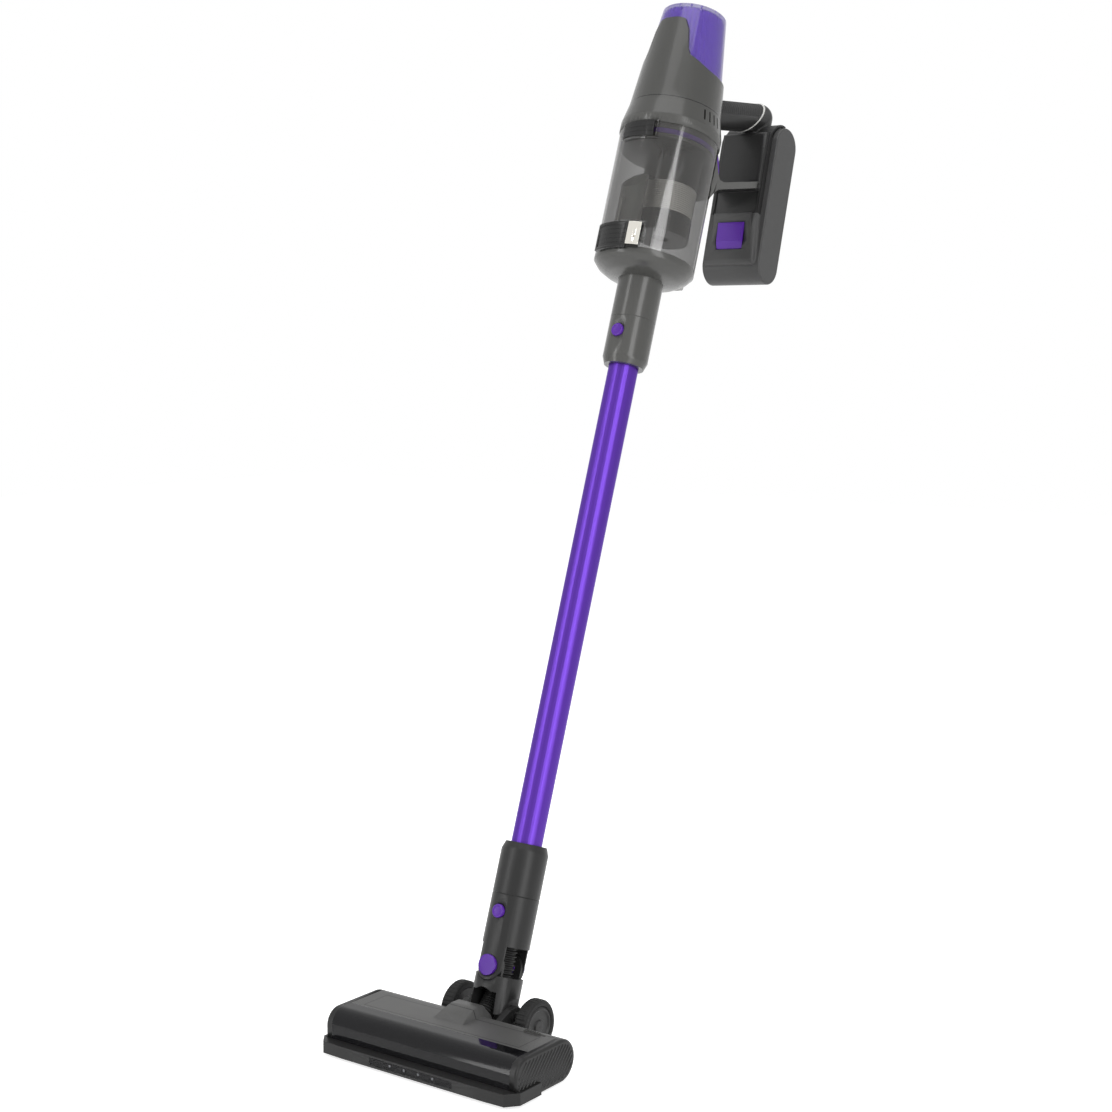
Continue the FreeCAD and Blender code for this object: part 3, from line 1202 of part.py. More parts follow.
def brush_motor():
    x0 = BELT_X + 8
    body = cross_disc(12.0, x0 + 4, x0 + 56, DRIVE_Y, DRIVE_Z)
    nose = cross_disc(5.0, x0, x0 + 4, DRIVE_Y, DRIVE_Z)
    bore = cross_disc(1.6 + FIT, x0 - 2, x0 + 12, DRIVE_Y, DRIVE_Z)
    return joined(body, nose).cut(bore)


def brush_lock():
    """Sliding key on the rear band that frees the brush."""
    y0 = DRIVE_Y - 4.7
    y1 = DRIVE_Y - 1.9
    body = box(SLIDER_X - 12, SLIDER_X + 6, y0, y1, HEAD_TOP - 1.0, HEAD_TOP + 1.4)
    ribs = [
        box(SLIDER_X - 10.6 + 2.6 * k, SLIDER_X - 9.4 + 2.6 * k, y0, y1, HEAD_TOP + 1.3, HEAD_TOP + 2.1)
        for k in range(6)
    ]
    return joined(body, *ribs)


def wheel(side):
    """Rear wheel with a soft tread and a dished hub, turning on its stub axle."""
    disc_body = cross_disc(WHEEL_R, WHEEL_INNER, WHEEL_OUTER, WHEEL_Y, WHEEL_Z)
    disc_body = rounded(disc_body, 3.0, lambda e: e.Curve.TypeId == "Part::GeomCircle")
    groove = cross_tube(WHEEL_R - 5.5, WHEEL_R - 6.7, WHEEL_OUTER - 1.2, WHEEL_OUTER + 1, WHEEL_Y, WHEEL_Z)
    dish = cross_tube(WHEEL_R - 9, 6.0, WHEEL_OUTER - 2.0, WHEEL_OUTER + 1, WHEEL_Y, WHEEL_Z)
    bore = cross_disc(AXLE_R + FIT, WHEEL_INNER - 1, WHEEL_OUTER - 4, WHEEL_Y, WHEEL_Z)
    made = less(disc_body, groove, dish, bore)
    return made if side > 0 else mirrored(made)


# ---- write every piece --------------------------------------------------------------------------

os.makedirs("parts", exist_ok=True)

WAND_PIECES = [
    motor_housing, rim_ring, cup_seal, cyclone_shroud, mesh_screen, cyclone_skirt,
    motor_can, motor_stator, motor_bearings, motor_shaft, impeller,
    filter_cap, filter_element, filter_seal,
    handle_bar, grip_pad, trim_ring, lower_arm, power_trigger, trigger_switch,
    battery_dock, control_board, handle_screws,
    battery_case, battery_cells, battery_board, battery_button,
    cup_shell, inlet_duct, cup_latch, lid_clasp, clasp_plate, cup_lid, lid_hinge_pin,
    neck_collar, wand_tube, wand_end_plugs, wand_wires,
    foot_collar, foot_fork, swing_caps, upper_hose, yoke,
]
FLOOR_PIECES = [
    lower_hose, head_base, head_cover, head_window, bumper, led_lens,
    brush_motor, drive_belt, motor_pulley, brush_roller, brush_bristles, brush_lock,
]
for make in WAND_PIECES:
    save(make.__name__, make(), True)
for make in FLOOR_PIECES:
    save(make.__name__, make(), False)
save("wand_button", wand_button(NECK_BUTTON_Z), True)
save("foot_button", wand_button(FOOT_BUTTON_Z), True)
save("end_caps", group([end_cap(1), end_cap(-1)]), False)
save("wheel_right", wheel(1), False)
save("wheel_left", wheel(-1), False)
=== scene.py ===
# %% [markdown]
# # A cordless stick vacuum, in cells
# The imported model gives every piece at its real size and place. This script gives each piece its
# finish, and makes again those whose surface is finer than a plain solid: the ribbed grip, the
# pleated filter, the hoses, the tyres and the brush.

# %% Load the model
import json
import math

import bmesh
import bpy
import numpy as np
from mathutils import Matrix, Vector

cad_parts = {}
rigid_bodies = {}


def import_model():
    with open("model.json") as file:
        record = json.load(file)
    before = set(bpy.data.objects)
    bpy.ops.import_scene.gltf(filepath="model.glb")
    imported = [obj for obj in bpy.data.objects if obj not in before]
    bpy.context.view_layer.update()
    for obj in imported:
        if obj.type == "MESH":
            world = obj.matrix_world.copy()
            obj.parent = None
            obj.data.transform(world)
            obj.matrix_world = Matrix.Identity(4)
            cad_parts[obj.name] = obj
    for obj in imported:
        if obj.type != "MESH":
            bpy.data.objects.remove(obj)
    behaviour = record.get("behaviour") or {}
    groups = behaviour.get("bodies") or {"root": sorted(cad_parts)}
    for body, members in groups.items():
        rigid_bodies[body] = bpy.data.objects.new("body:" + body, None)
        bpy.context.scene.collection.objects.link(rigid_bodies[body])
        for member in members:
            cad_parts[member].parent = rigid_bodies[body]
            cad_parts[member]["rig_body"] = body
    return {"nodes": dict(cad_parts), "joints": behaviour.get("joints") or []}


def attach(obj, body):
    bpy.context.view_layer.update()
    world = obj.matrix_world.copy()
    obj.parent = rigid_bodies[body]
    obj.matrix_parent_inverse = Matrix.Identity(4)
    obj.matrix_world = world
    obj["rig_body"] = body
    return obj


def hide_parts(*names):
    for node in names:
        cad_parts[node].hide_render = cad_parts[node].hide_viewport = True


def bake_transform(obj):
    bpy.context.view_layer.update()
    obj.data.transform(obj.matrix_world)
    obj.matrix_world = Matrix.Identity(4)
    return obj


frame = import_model()
nodes = frame["nodes"]
joints = {joint["name"]: joint for joint in frame["joints"]}
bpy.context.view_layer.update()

# %% [markdown]
# ## Where things are
# Two sets of directions do for everything. The floor head is square to the room. The wand leans
# back, so its pieces are worked out along its own axis. Both start at the axis on which the head
# tips, and both count in millimetres, because the sizes read better that way.

# %% Directions
PITCH_AXIS = np.array(joints["head_pitch"]["pos_m"], float)
SIDE = np.array([1.0, 0.0, 0.0])
UP = -np.array(joints["wand_slide"]["axis"], float)
UP = UP / np.linalg.norm(UP)
BACK = np.cross(UP, SIDE)


def in_wand(x, y, z):
    """Millimetres across, rearward and up the wand, as points of the model in metres."""
    x, y, z = np.broadcast_arrays(x, y, z)
    return PITCH_AXIS + (x[..., None] * SIDE + y[..., None] * BACK + z[..., None] * UP) / 1000


def on_floor(x, y, z):
    """Millimetres across, rearward and up from the tipping axis, as points of the model."""
    x, y, z = np.broadcast_arrays(x, y, z)
    return PITCH_AXIS + np.stack([x, y, z], -1) / 1000


def corners_of(node):
    """Every vertex of a node of the model, as an array of points."""
    mesh = nodes[node].data
    flat = np.zeros(len(mesh.vertices) * 3)
    mesh.vertices.foreach_get("co", flat)
    return flat.reshape(-1, 3)


def span(node, direction=UP, start=PITCH_AXIS):
    """Where a node begins and ends along a direction, in millimetres from the start."""
    along = (corners_of(node) - start) @ direction * 1000
    return float(along.min()), float(along.max())


def reach(node):
    """Largest distance of a node from the wand's axis, in millimetres."""
    out = corners_of(node) - PITCH_AXIS
    out = out - np.outer(out @ UP, UP)
    return float(np.linalg.norm(out, axis=1).max() * 1000)


print("wand radius", round(reach("wand_tube"), 2), "cup", span("cup_shell"), "tube", span("wand_tube"))

# %% [markdown]
# ## Meshes from arrays
# A surface is a grid of points. One array holds all of them, and the faces are worked out from the
# grid's own numbering, so no loop walks over vertices. Where a grid closes on itself it wraps, and
# where it has an open end the end is filled. That keeps each piece a closed body, as it is in life.

# %% Grid to mesh
def grid_faces(rows, columns, wrap_rows, wrap_columns):
    """Corner numbers of the four-sided faces between neighbouring points of a grid."""
    row = np.arange(rows if wrap_rows else rows - 1)[:, None]
    column = np.arange(columns if wrap_columns else columns - 1)[None, :]
    next_row = (row + 1) % rows
    next_column = (column + 1) % columns
    corners = [
        row * columns + column, next_row * columns + column,
        next_row * columns + next_column, row * columns + next_column,
    ]
    return np.stack(np.broadcast_arrays(*corners), -1).reshape(-1, 4)


def mesh_from(name, points, faces):
    """A mesh from an array of points and an array of faces with four corners each."""
    mesh = bpy.data.meshes.new(name)
    mesh.from_pydata(points.reshape(-1, 3).tolist(), [], faces.tolist())
    return mesh


def tidy_mesh(mesh, smooth_angle=35.0, fill=True):
    """Merges doubles, fills open ends, turns the faces outwards and sets the smooth shading."""
    work = bmesh.new()
    work.from_mesh(mesh)
    bmesh.ops.remove_doubles(work, verts=work.verts, dist=2e-6)
    bmesh.ops.dissolve_degenerate(work, edges=work.edges, dist=1e-7)
    if fill:
        bmesh.ops.holes_fill(work, edges=[e for e in work.edges if e.is_boundary], sides=0)
    bmesh.ops.recalc_face_normals(work, faces=work.faces)
    work.to_mesh(mesh)
    work.free()
    mesh.polygons.foreach_set("use_smooth", [True] * len(mesh.polygons))
    mesh.set_sharp_from_angle(angle=math.radians(smooth_angle))


def stack_grids(grids):
    """Several grids of the same size as one array of points and one array of faces."""
    rows, columns = grids[0].shape[:2]
    faces = grid_faces(rows, columns, False, True)
    offset = rows * columns
    many = np.concatenate([faces + k * offset for k in range(len(grids))])
    return np.concatenate([g.reshape(-1, 3) for g in grids]), many


def add_piece(name, mesh, body, material, stands_for=()):
    """Puts a mesh in the scene, on the body that carries it, with its material."""
    piece = bpy.data.objects.new(name, mesh)
    bpy.context.scene.collection.objects.link(piece)
    mesh.materials.clear()
    mesh.materials.append(material)
    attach(piece, body)
    if stands_for:
        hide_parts(*stands_for)
    return piece


# %% [markdown]
# ## Profiles with round corners
# Most of this machine is turned: collars, rings, wheels and buttons. A moulded corner is never
# sharp, and its small round catches the light, so each corner of a profile carries its own radius
# and is swapped for an arc that meets both of its sides.

# %% Round a profile and turn it
def round_corner(before, corner, after, radius, steps=6):
    """Arc of a radius that touches both sides of a corner: points at even angles between them."""
    a = (before - corner) / np.linalg.norm(before - corner)
    b = (after - corner) / np.linalg.norm(after - corner)
    half = math.acos(float(np.clip(a @ b, -1, 1))) / 2
    room = 0.48 * min(np.linalg.norm(before - corner), np.linalg.norm(after - corner))
    radius = min(radius, room * math.tan(half))
    if radius < 1e-3 or half > 1.56:
        return corner[None, :]
    middle = corner + (a + b) / np.linalg.norm(a + b) * radius / math.sin(half)
    start = corner + a * radius / math.tan(half) - middle
    end = corner + b * radius / math.tan(half) - middle
    share = np.linspace(0, 1, steps)[:, None]
    bend = math.pi - 2 * half
    mix = (np.sin((1 - share) * bend) * start + np.sin(share * bend) * end) / math.sin(bend)
    return middle + mix


def round_profile(corners):
    """A closed outline of (distance, height, corner radius) as an array of points."""
    flat = np.array([c[:2] for c in corners], float)
    arcs = [
        round_corner(flat[k - 1], flat[k], flat[(k + 1) % len(flat)], corners[k][2])
        for k in range(len(corners))
    ]
    return np.concatenate(arcs)


def turned(name, corners, place, steps=96, shift=None):
    """A closed profile carried round an axis: distance times cosine and sine, height kept.
    place turns (across, out, along) into points. shift may move the distance with the angle."""
    profile = round_profile(corners)
    angle = np.linspace(0, 2 * math.pi, steps, endpoint=False)[:, None]
    distance = np.broadcast_to(profile[:, 0], (steps, len(profile)))
    height = np.broadcast_to(profile[:, 1], (steps, len(profile)))
    if shift:
        distance = shift(angle, distance, height)
    points = place(distance * np.sin(angle), -distance * np.cos(angle), height)
    mesh = mesh_from(name, points, grid_faces(steps, len(profile), True, True))
    tidy_mesh(mesh, fill=False)
    return mesh


# %% [markdown]
# ## Colours
# A colour is written as it looks on a screen and turned into the light values that the renderer
# wants, with the usual curve.

# %% Screen colours as light
def light(red, green, blue):
    """Screen values from 0 to 255 as linear light: the standard curve, part line, part power."""
    screen = np.array([red, green, blue], float) / 255
    linear = np.where(screen <= 0.04045, screen / 12.92, ((screen + 0.055) / 1.055) ** 2.4)
    return (*[float(c) for c in linear], 1.0)


# %% [markdown]
# ## Effects shared by the finishes
# Three things make plastic look moulded and not drawn: the corners are a little round, the gloss
# is not even, and a fine grain or orange peel breaks the reflection. Each is a node group, built
# once and set to its own strength in each material.

# %% Node groups
def new_group(name, inputs, outputs):
    """An empty shader node group with named inputs (name, default) and outputs (name, kind)."""
    group = bpy.data.node_groups.new(name, "ShaderNodeTree")
    for label, default in inputs:
        kind = "NodeSocketColor" if isinstance(default, tuple) else "NodeSocketFloat"
        socket = group.interface.new_socket(name=label, in_out="INPUT", socket_type=kind)
        socket.default_value = default
    for label, kind in outputs:
        group.interface.new_socket(name=label, in_out="OUTPUT", socket_type=kind)
    return group, group.nodes.new("NodeGroupInput"), group.nodes.new("NodeGroupOutput")


def link(tree, source, target):
    tree.links.new(source, target)


def math_node(tree, operation, first, second=None):
    """One step of arithmetic. A plain number or a socket may go into either place."""
    node = tree.nodes.new("ShaderNodeMath")
    node.operation = operation
    for place, value in ((0, first), (1, second)):
        if value is None:
            continue
        if isinstance(value, (int, float)):
            node.inputs[place].default_value = value
        else:
            link(tree, value, node.inputs[place])
    return node.outputs[0]


def moulded_surface():
    """Group: grain height, uneven gloss and slight colour drift from two sizes of noise."""
    group, given, result = new_group(
        "moulded surface",
        [("Colour", (0.5, 0.5, 0.5, 1.0)), ("Drift", 0.06), ("Grain size", 900.0), ("Gloss", 0.3),
         ("Gloss drift", 0.05)],
        [("Colour", "NodeSocketColor"), ("Roughness", "NodeSocketFloat"),
         ("Height", "NodeSocketFloat")],
    )
    place = group.nodes.new("ShaderNodeTexCoord")
    cloud = group.nodes.new("ShaderNodeTexNoise")
    cloud.inputs["Scale"].default_value = 14.0
    cloud.inputs["Detail"].default_value = 4.0
    link(group, place.outputs["Object"], cloud.inputs["Vector"])
    grain = group.nodes.new("ShaderNodeTexNoise")
    grain.inputs["Detail"].default_value = 2.0
    link(group, place.outputs["Object"], grain.inputs["Vector"])
    link(group, given.outputs["Grain size"], grain.inputs["Scale"])
    centred = math_node(group, "SUBTRACT", cloud.outputs["Fac"], 0.5)
    drift = math_node(group, "MULTIPLY", centred, given.outputs["Drift"])
    level = math_node(group, "ADD", drift, 1.0)
    tint = group.nodes.new("ShaderNodeVectorMath")
    tint.operation = "SCALE"
    link(group, given.outputs["Colour"], tint.inputs[0])
    link(group, level, tint.inputs["Scale"])
    link(group, tint.outputs[0], result.inputs["Colour"])
    swing = math_node(group, "MULTIPLY", centred, given.outputs["Gloss drift"])
    link(group, math_node(group, "ADD", swing, given.outputs["Gloss"]), result.inputs["Roughness"])
    link(group, grain.outputs["Fac"], result.inputs["Height"])
    return group


def soft_corners():
    """Group: the surface normal with corners rounded by a given radius."""
    group, given, result = new_group(
        "soft corners", [("Radius", 0.0006)], [("Normal", "NodeSocketVector")],
    )
    bevel = group.nodes.new("ShaderNodeBevel")
    bevel.samples = 4
    link(group, given.outputs["Radius"], bevel.inputs["Radius"])
    link(group, bevel.outputs["Normal"], result.inputs["Normal"])
    return group


PLASTIC_SHINE = 0.25
SURFACE = moulded_surface()
CORNERS = soft_corners()


def place_group(tree, group, **values):
    """Puts a shared group into a material with its own values."""
    node = tree.nodes.new("ShaderNodeGroup")
    node.node_tree = group
    for label, value in values.items():
        node.inputs[label.replace("_", " ")].default_value = value
    return node


def moulded(name, colour, gloss, grain=900.0, depth=0.05, drift=0.06, corner=0.0006, **shader):
    """A moulded finish: the shared surface group feeds colour, roughness and a fine bump."""
    material = bpy.data.materials.new(name)
    material.use_nodes = True
    tree = material.node_tree
    principled = tree.nodes["Principled BSDF"]
    surface = place_group(
        tree, SURFACE, Colour=colour, Drift=drift, Grain_size=grain, Gloss=gloss,
        Gloss_drift=gloss * 0.25,
    )
    soft = place_group(tree, CORNERS, Radius=corner)
    bump = tree.nodes.new("ShaderNodeBump")
    bump.inputs["Strength"].default_value = depth
    bump.inputs["Distance"].default_value = 0.0004
    link(tree, surface.outputs["Colour"], principled.inputs["Base Color"])
    link(tree, surface.outputs["Roughness"], principled.inputs["Roughness"])
    link(tree, surface.outputs["Height"], bump.inputs["Height"])
    link(tree, soft.outputs["Normal"], bump.inputs["Normal"])
    link(tree, bump.outputs["Normal"], principled.inputs["Normal"])
    principled.inputs["Specular IOR Level"].default_value = PLASTIC_SHINE
    for label, value in shader.items():
        principled.inputs[label.replace("_", " ")].default_value = value
    return material


def see_through(material, least, most):
    """Makes a finish clear: little shows of it face on, and more at a glancing angle."""
    tree = material.node_tree
    principled = tree.nodes["Principled BSDF"]
    facing = tree.nodes.new("ShaderNodeLayerWeight")
    facing.inputs["Blend"].default_value = 0.5
    squared = math_node(tree, "POWER", facing.outputs["Facing"], 2.0)
    scaled = math_node(tree, "MULTIPLY", squared, most - least)
    link(tree, math_node(tree, "ADD", scaled, least), principled.inputs["Alpha"])
    return material


# %% [markdown]
# ## The finishes
# The upper body and the neck are glossy warm grey plastic, the handle and the lower joint are
# darker, and the wand is purple anodised aluminium, which is metal under a clear purple skin.

# %% Finishes
GREY_GLOSS = moulded("grey gloss plastic", light(76, 76, 74), 0.26, 700.0, 0.03, Coat_Weight=0.2)
GREY_GLOSS.node_tree.nodes["Principled BSDF"].inputs["Coat Roughness"].default_value = 0.12
DARK_SATIN = moulded("dark satin plastic", light(38, 38, 38), 0.38, 1300.0, 0.10)
DARK_GLOSS = moulded("dark gloss plastic", light(20, 20, 21), 0.18, 700.0, 0.03, Coat_Weight=0.3)
HEAD_GREY = moulded("textured head plastic", light(72, 72, 71), 0.44, 1700.0, 0.30)
CASE_GREY = moulded("textured battery plastic", light(70, 70, 70), 0.44, 1700.0, 0.25)
BLACK_WINDOW = see_through(moulded("black window", light(20, 20, 22), 0.07, 300.0, 0.01), 0.90, 1.0)
SMOKE = moulded("smoke clear plastic", light(34, 31, 25), 0.06, 200.0, 0.01, corner=0.0004, IOR=3.0)
SMOKE = see_through(SMOKE, 0.34, 0.80)
DUCT_GREY = moulded("duct plastic", light(120, 120, 116), 0.28, 600.0, 0.03)
PURPLE_CLEAR = moulded("clear purple plastic", light(66, 20, 158), 0.08, 300.0, 0.01, IOR=2.2)
PURPLE_CLEAR = see_through(PURPLE_CLEAR, 0.34, 0.95)
PURPLE_PLASTIC = moulded("purple plastic", light(84, 36, 150), 0.34, 900.0, 0.06)
PURPLE_RUBBER = moulded("purple seal rubber", light(92, 52, 150), 0.6, 900.0, 0.1)
GRIP_RUBBER = moulded("soft grip rubber", light(44, 44, 44), 0.62, 2200.0, 0.35)
TYRE_RUBBER = moulded("tyre rubber", light(26, 26, 26), 0.62, 1600.0, 0.3)
HOSE_RUBBER = moulded("hose rubber", light(30, 30, 30), 0.42, 900.0, 0.08)
CHROME = moulded("chrome", light(225, 222, 214), 0.08, 300.0, 0.01, Metallic=1.0)
STEEL = moulded("steel", light(170, 170, 168), 0.32, 900.0, 0.05, Metallic=1.0)
ALLOY = moulded("plain alloy", light(196, 196, 200), 0.3, 900.0, 0.05, Metallic=1.0)
IRON = moulded("windings", light(150, 84, 40), 0.4, 600.0, 0.3, Metallic=0.6)
PLAIN_DARK = moulded("plain dark plastic", light(32, 32, 32), 0.42, 900.0, 0.1)
BOARD = moulded("circuit board", light(24, 92, 50), 0.4, 900.0, 0.05)
CELL_WRAP = moulded("cell wrap", light(40, 92, 150), 0.3, 500.0, 0.03)
WIRE = moulded("red wire", light(150, 20, 20), 0.4, 900.0, 0.05)
PAPER = moulded("pleated paper", light(186, 160, 244), 0.85, 1500.0, 0.3)
BRISTLE = moulded("bristle", light(70, 46, 120), 0.7, 2500.0, 0.4, Sheen_Weight=0.4)
LENS = see_through(moulded("lamp lens", light(34, 34, 36), 0.10, 300.0, 0.01), 0.45, 0.9)
LAMP = moulded("lamp", light(235, 238, 245), 0.3, 300.0, 0.01)


def anodised(name, colour, skin):
    """Anodised metal: a metal base under a thin coat, with its own tint at glancing angles."""
    material = moulded(name, colour, 0.36, 1800.0, 0.03, 0.04, Metallic=0.8, Coat_Weight=0.25)
    tree = material.node_tree
    principled = tree.nodes["Principled BSDF"]
    principled.inputs["Coat Roughness"].default_value = 0.3
    principled.inputs["Specular Tint"].default_value = skin
    return material


PURPLE_METAL = anodised("purple anodised metal", light(80, 42, 148), light(196, 170, 240))
print("finishes", len(bpy.data.materials))

# %% [markdown]
# ## Patterned finishes
# The screen of the cyclone is sheet steel with rows of tiny holes, so fine that a wave in its
# height map does for them. Joint lines between moulded shells are narrow and dark: a mask finds
# them from the place on the surface, and works from every side.

# %% Pierced screen and joint lines
LINE_BLACK = light(22, 22, 22)
OUTLINE_BLACK = light(24, 24, 24)


def dot_along(tree, coordinates, direction):
    """Socket with the dot product of one of the coordinates' outputs and a fixed direction."""
    place = tree.nodes.new("ShaderNodeTexCoord")
    along = tree.nodes.new("ShaderNodeVectorMath")
    along.operation = "DOT_PRODUCT"
    along.inputs[1].default_value = direction
    link(tree, place.outputs[coordinates], along.inputs[0])
    return along.outputs["Value"]


def darken_where(tree, mask, colour):
    """Swaps the base colour for a dark one where the mask is 1."""
    base = tree.nodes["Principled BSDF"].inputs["Base Color"]
    darken = tree.nodes.new("ShaderNodeMix")
    darken.data_type = "RGBA"
    darken.inputs["B"].default_value = colour
    link(tree, mask, darken.inputs["Factor"])
    link(tree, base.links[0].from_socket, darken.inputs["A"])
    link(tree, darken.outputs["Result"], base)


def add_ribs(material, direction, spacing, depth):
    """Adds a wave along a direction to the height: one ridge for each spacing, in metres."""
    tree = material.node_tree
    bump = next(node for node in tree.nodes if node.type == "BUMP")
    phase = math_node(tree, "MULTIPLY", dot_along(tree, "Object", direction), 2 * math.pi / spacing)
    wave = math_node(tree, "SINE", phase)
    ridge = tree.nodes.new("ShaderNodeBump")
    ridge.inputs["Strength"].default_value = depth
    ridge.inputs["Distance"].default_value = 0.0006
    link(tree, wave, ridge.inputs["Height"])
    link(tree, bump.outputs["Normal"], ridge.inputs["Normal"])
    link(tree, ridge.outputs["Normal"], tree.nodes["Principled BSDF"].inputs["Normal"])


CAP_PLASTIC = moulded("cap plastic", light(30, 30, 30), 0.36, 1200.0, 0.08)
SCREEN_PITCH = 0.0022
SCREEN = moulded("pierced screen steel", light(205, 203, 196), 0.34, Metallic=0.9)
add_ribs(SCREEN, tuple(UP), SCREEN_PITCH, 0.6)


def add_seams(material, stations, width):
    """Dark narrow joint lines across the wand: a mask where the height up the wand is within
    half a width of a station, in millimetres."""
    tree = material.node_tree
    height = dot_along(tree, "Object", tuple(UP * 1000))
    start = float(PITCH_AXIS @ UP) * 1000
    mask = 0.0
    for station in stations:
        away = math_node(tree, "SUBTRACT", height, start + station)
        inside = math_node(tree, "LESS_THAN", math_node(tree, "ABSOLUTE", away), width / 2)
        mask = math_node(tree, "MAXIMUM", mask, inside)
    darken_where(tree, mask, LINE_BLACK)


def add_outline(material, half_width, middle, half_depth, width):
    """A joint line round a rectangle on the floor head. The distance to its edge is the larger of
    |x| less the half width and |y - middle| less the half depth; the line is where it is near 0."""
    tree = material.node_tree
    place = tree.nodes.new("ShaderNodeTexCoord")
    split = tree.nodes.new("ShaderNodeSeparateXYZ")
    link(tree, place.outputs["Object"], split.inputs[0])
    x_from = math_node(tree, "ABSOLUTE", split.outputs["X"])
    x_out = math_node(tree, "SUBTRACT", x_from, half_width / 1000)
    y_from = math_node(tree, "SUBTRACT", split.outputs["Y"], float(PITCH_AXIS[1]) + middle / 1000)
    y_out = math_node(tree, "SUBTRACT", math_node(tree, "ABSOLUTE", y_from), half_depth / 1000)
    away = math_node(tree, "ABSOLUTE", math_node(tree, "MAXIMUM", x_out, y_out))
    mask = math_node(tree, "LESS_THAN", away, width / 2000)
    darken_where(tree, mask, OUTLINE_BLACK)


COVER_GREY = moulded("head cover plastic", light(78, 78, 77), 0.40, 1700.0, 0.30)
add_outline(COVER_GREY, half_width=98.0, middle=-66.0, half_depth=17.0, width=0.9)
LATCH_BLACK = moulded("latch plastic", light(34, 34, 34), 0.24, 700.0, 0.03)
CLASP_GROOVES = [803.0, 808.0, 813.0, 818.0]
LATCH_GROOVES = [929.0, 934.0]
add_seams(LATCH_BLACK, CLASP_GROOVES + LATCH_GROOVES, 1.1)
TRIM_WHITE = moulded("trim plastic", light(214, 214, 210), 0.35, 700.0, 0.03)
HOUSING_GREY = moulded("housing plastic", light(68, 68, 66), 0.26, 700.0, 0.03, Coat_Weight=0.2)
HOUSING_SEAM = 973.5
add_seams(HOUSING_GREY, [HOUSING_SEAM], 0.9)
print("ridges on", SCREEN.name, "seam on", HOUSING_GREY.name)

# %% [markdown]
# ## Pieces whose shape is right
# Most pieces keep the shape of the solid model. A copy is welded at its seams, so that light
# flows over its curves, and edges stay crisp only where two faces truly meet at a corner.

# %% Skins over the solid pieces
def skin(node, material, smooth_angle=32.0):
    """A welded copy of a node's mesh with its finish, riding on the same body."""
    mesh = nodes[node].data.copy()
    mesh.name = node + "_skin"
    work = bmesh.new()
    work.from_mesh(mesh)
    bmesh.ops.remove_doubles(work, verts=work.verts, dist=2e-6)
    work.to_mesh(mesh)
    work.free()
    mesh.polygons.foreach_set("use_smooth", [True] * len(mesh.polygons))
    mesh.set_sharp_from_angle(angle=math.radians(smooth_angle))
    piece = add_piece(node + "_skin", mesh, nodes[node]["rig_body"], material, (node,))
    even = piece.modifiers.new("even shading", "WEIGHTED_NORMAL")
    even.keep_sharp = True


FINISH_OF = {
    "motor_housing": HOUSING_GREY, "rim_ring": GREY_GLOSS, "cup_seal": PURPLE_RUBBER,
    "cyclone_shroud": DARK_GLOSS, "mesh_screen": SCREEN, "cyclone_skirt": DARK_GLOSS,
    "filter_cap": PURPLE_CLEAR, "filter_seal": PLAIN_DARK, "handle_bar": DARK_SATIN,
    "trim_ring": TRIM_WHITE, "lower_arm": GREY_GLOSS, "power_trigger": PURPLE_PLASTIC,
    "battery_dock": DARK_SATIN, "battery_case": CASE_GREY, "battery_button": PURPLE_PLASTIC,
    "handle_screws": STEEL, "cup_shell": SMOKE, "inlet_duct": DUCT_GREY, "cup_latch": LATCH_BLACK,
    "lid_clasp": LATCH_BLACK, "clasp_plate": CHROME, "cup_lid": GREY_GLOSS, "lid_hinge_pin": STEEL,
    "neck_collar": GREY_GLOSS, "wand_tube": PURPLE_METAL, "wand_end_plugs": DARK_SATIN,
    "foot_collar": DARK_SATIN, "foot_fork": DARK_SATIN, "swing_caps": PURPLE_PLASTIC,
    "yoke": DARK_SATIN, "head_base": DARK_SATIN, "head_cover": COVER_GREY, "head_window": BLACK_WINDOW,
    "end_caps": CAP_PLASTIC, "bumper": PLAIN_DARK, "led_lens": LENS, "brush_roller": DARK_GLOSS,
    "brush_lock": HEAD_GREY,
}
for node_name, finish in FINISH_OF.items():
    skin(node_name, finish)
print("skins", len(FINISH_OF))

# %% [markdown]
# ## Pieces inside
# The motor, cells, boards and belt show only when the machine is opened, so the solid model's own
# shape serves, with its true material on it.

# %% Inner pieces
INNER_FINISH = {
    "motor_can": STEEL, "motor_stator": IRON, "motor_bearings": STEEL, "motor_shaft": STEEL,
    "impeller": ALLOY, "trigger_switch": PLAIN_DARK, "control_board": BOARD, "battery_cells": CELL_WRAP,
    "battery_board": BOARD, "wand_wires": WIRE, "brush_motor": STEEL, "drive_belt": TYRE_RUBBER,
    "motor_pulley": ALLOY,
}
for node_name, finish in INNER_FINISH.items():
    inner = nodes[node_name].data
    inner.materials.clear()
    inner.materials.append(finish)
print("inner pieces", len(INNER_FINISH))

# %% [markdown]
# ## The grip
# The top of the handle bar is a soft cover with cross ribs. It is half a tube, cut square by the
# housing and at a slant by the trim ring. Two parameters place each point: how far along the bar,
# and the angle round it. The ribs are a wave added to the radius.

# %% Grip pad
BAR_TILT = math.radians(22.2)
MITRE_TILT = math.radians(27.0)
BAR_R = 16.5
PAD_THICK = 2.3
GROOVE_DEPTH = 0.9
PAD_START_Y = 56.0
BAR_ROOT_Y = 86.0
BAR_ROOT_Z = 1013.0
MITRE_Y = 144.5
TRIM_HALF = 1.3
GRIP_RIBS = 22
END_FADE = 14
SIDE_FADE = 3
RIB_ROUNDNESS = 0.6


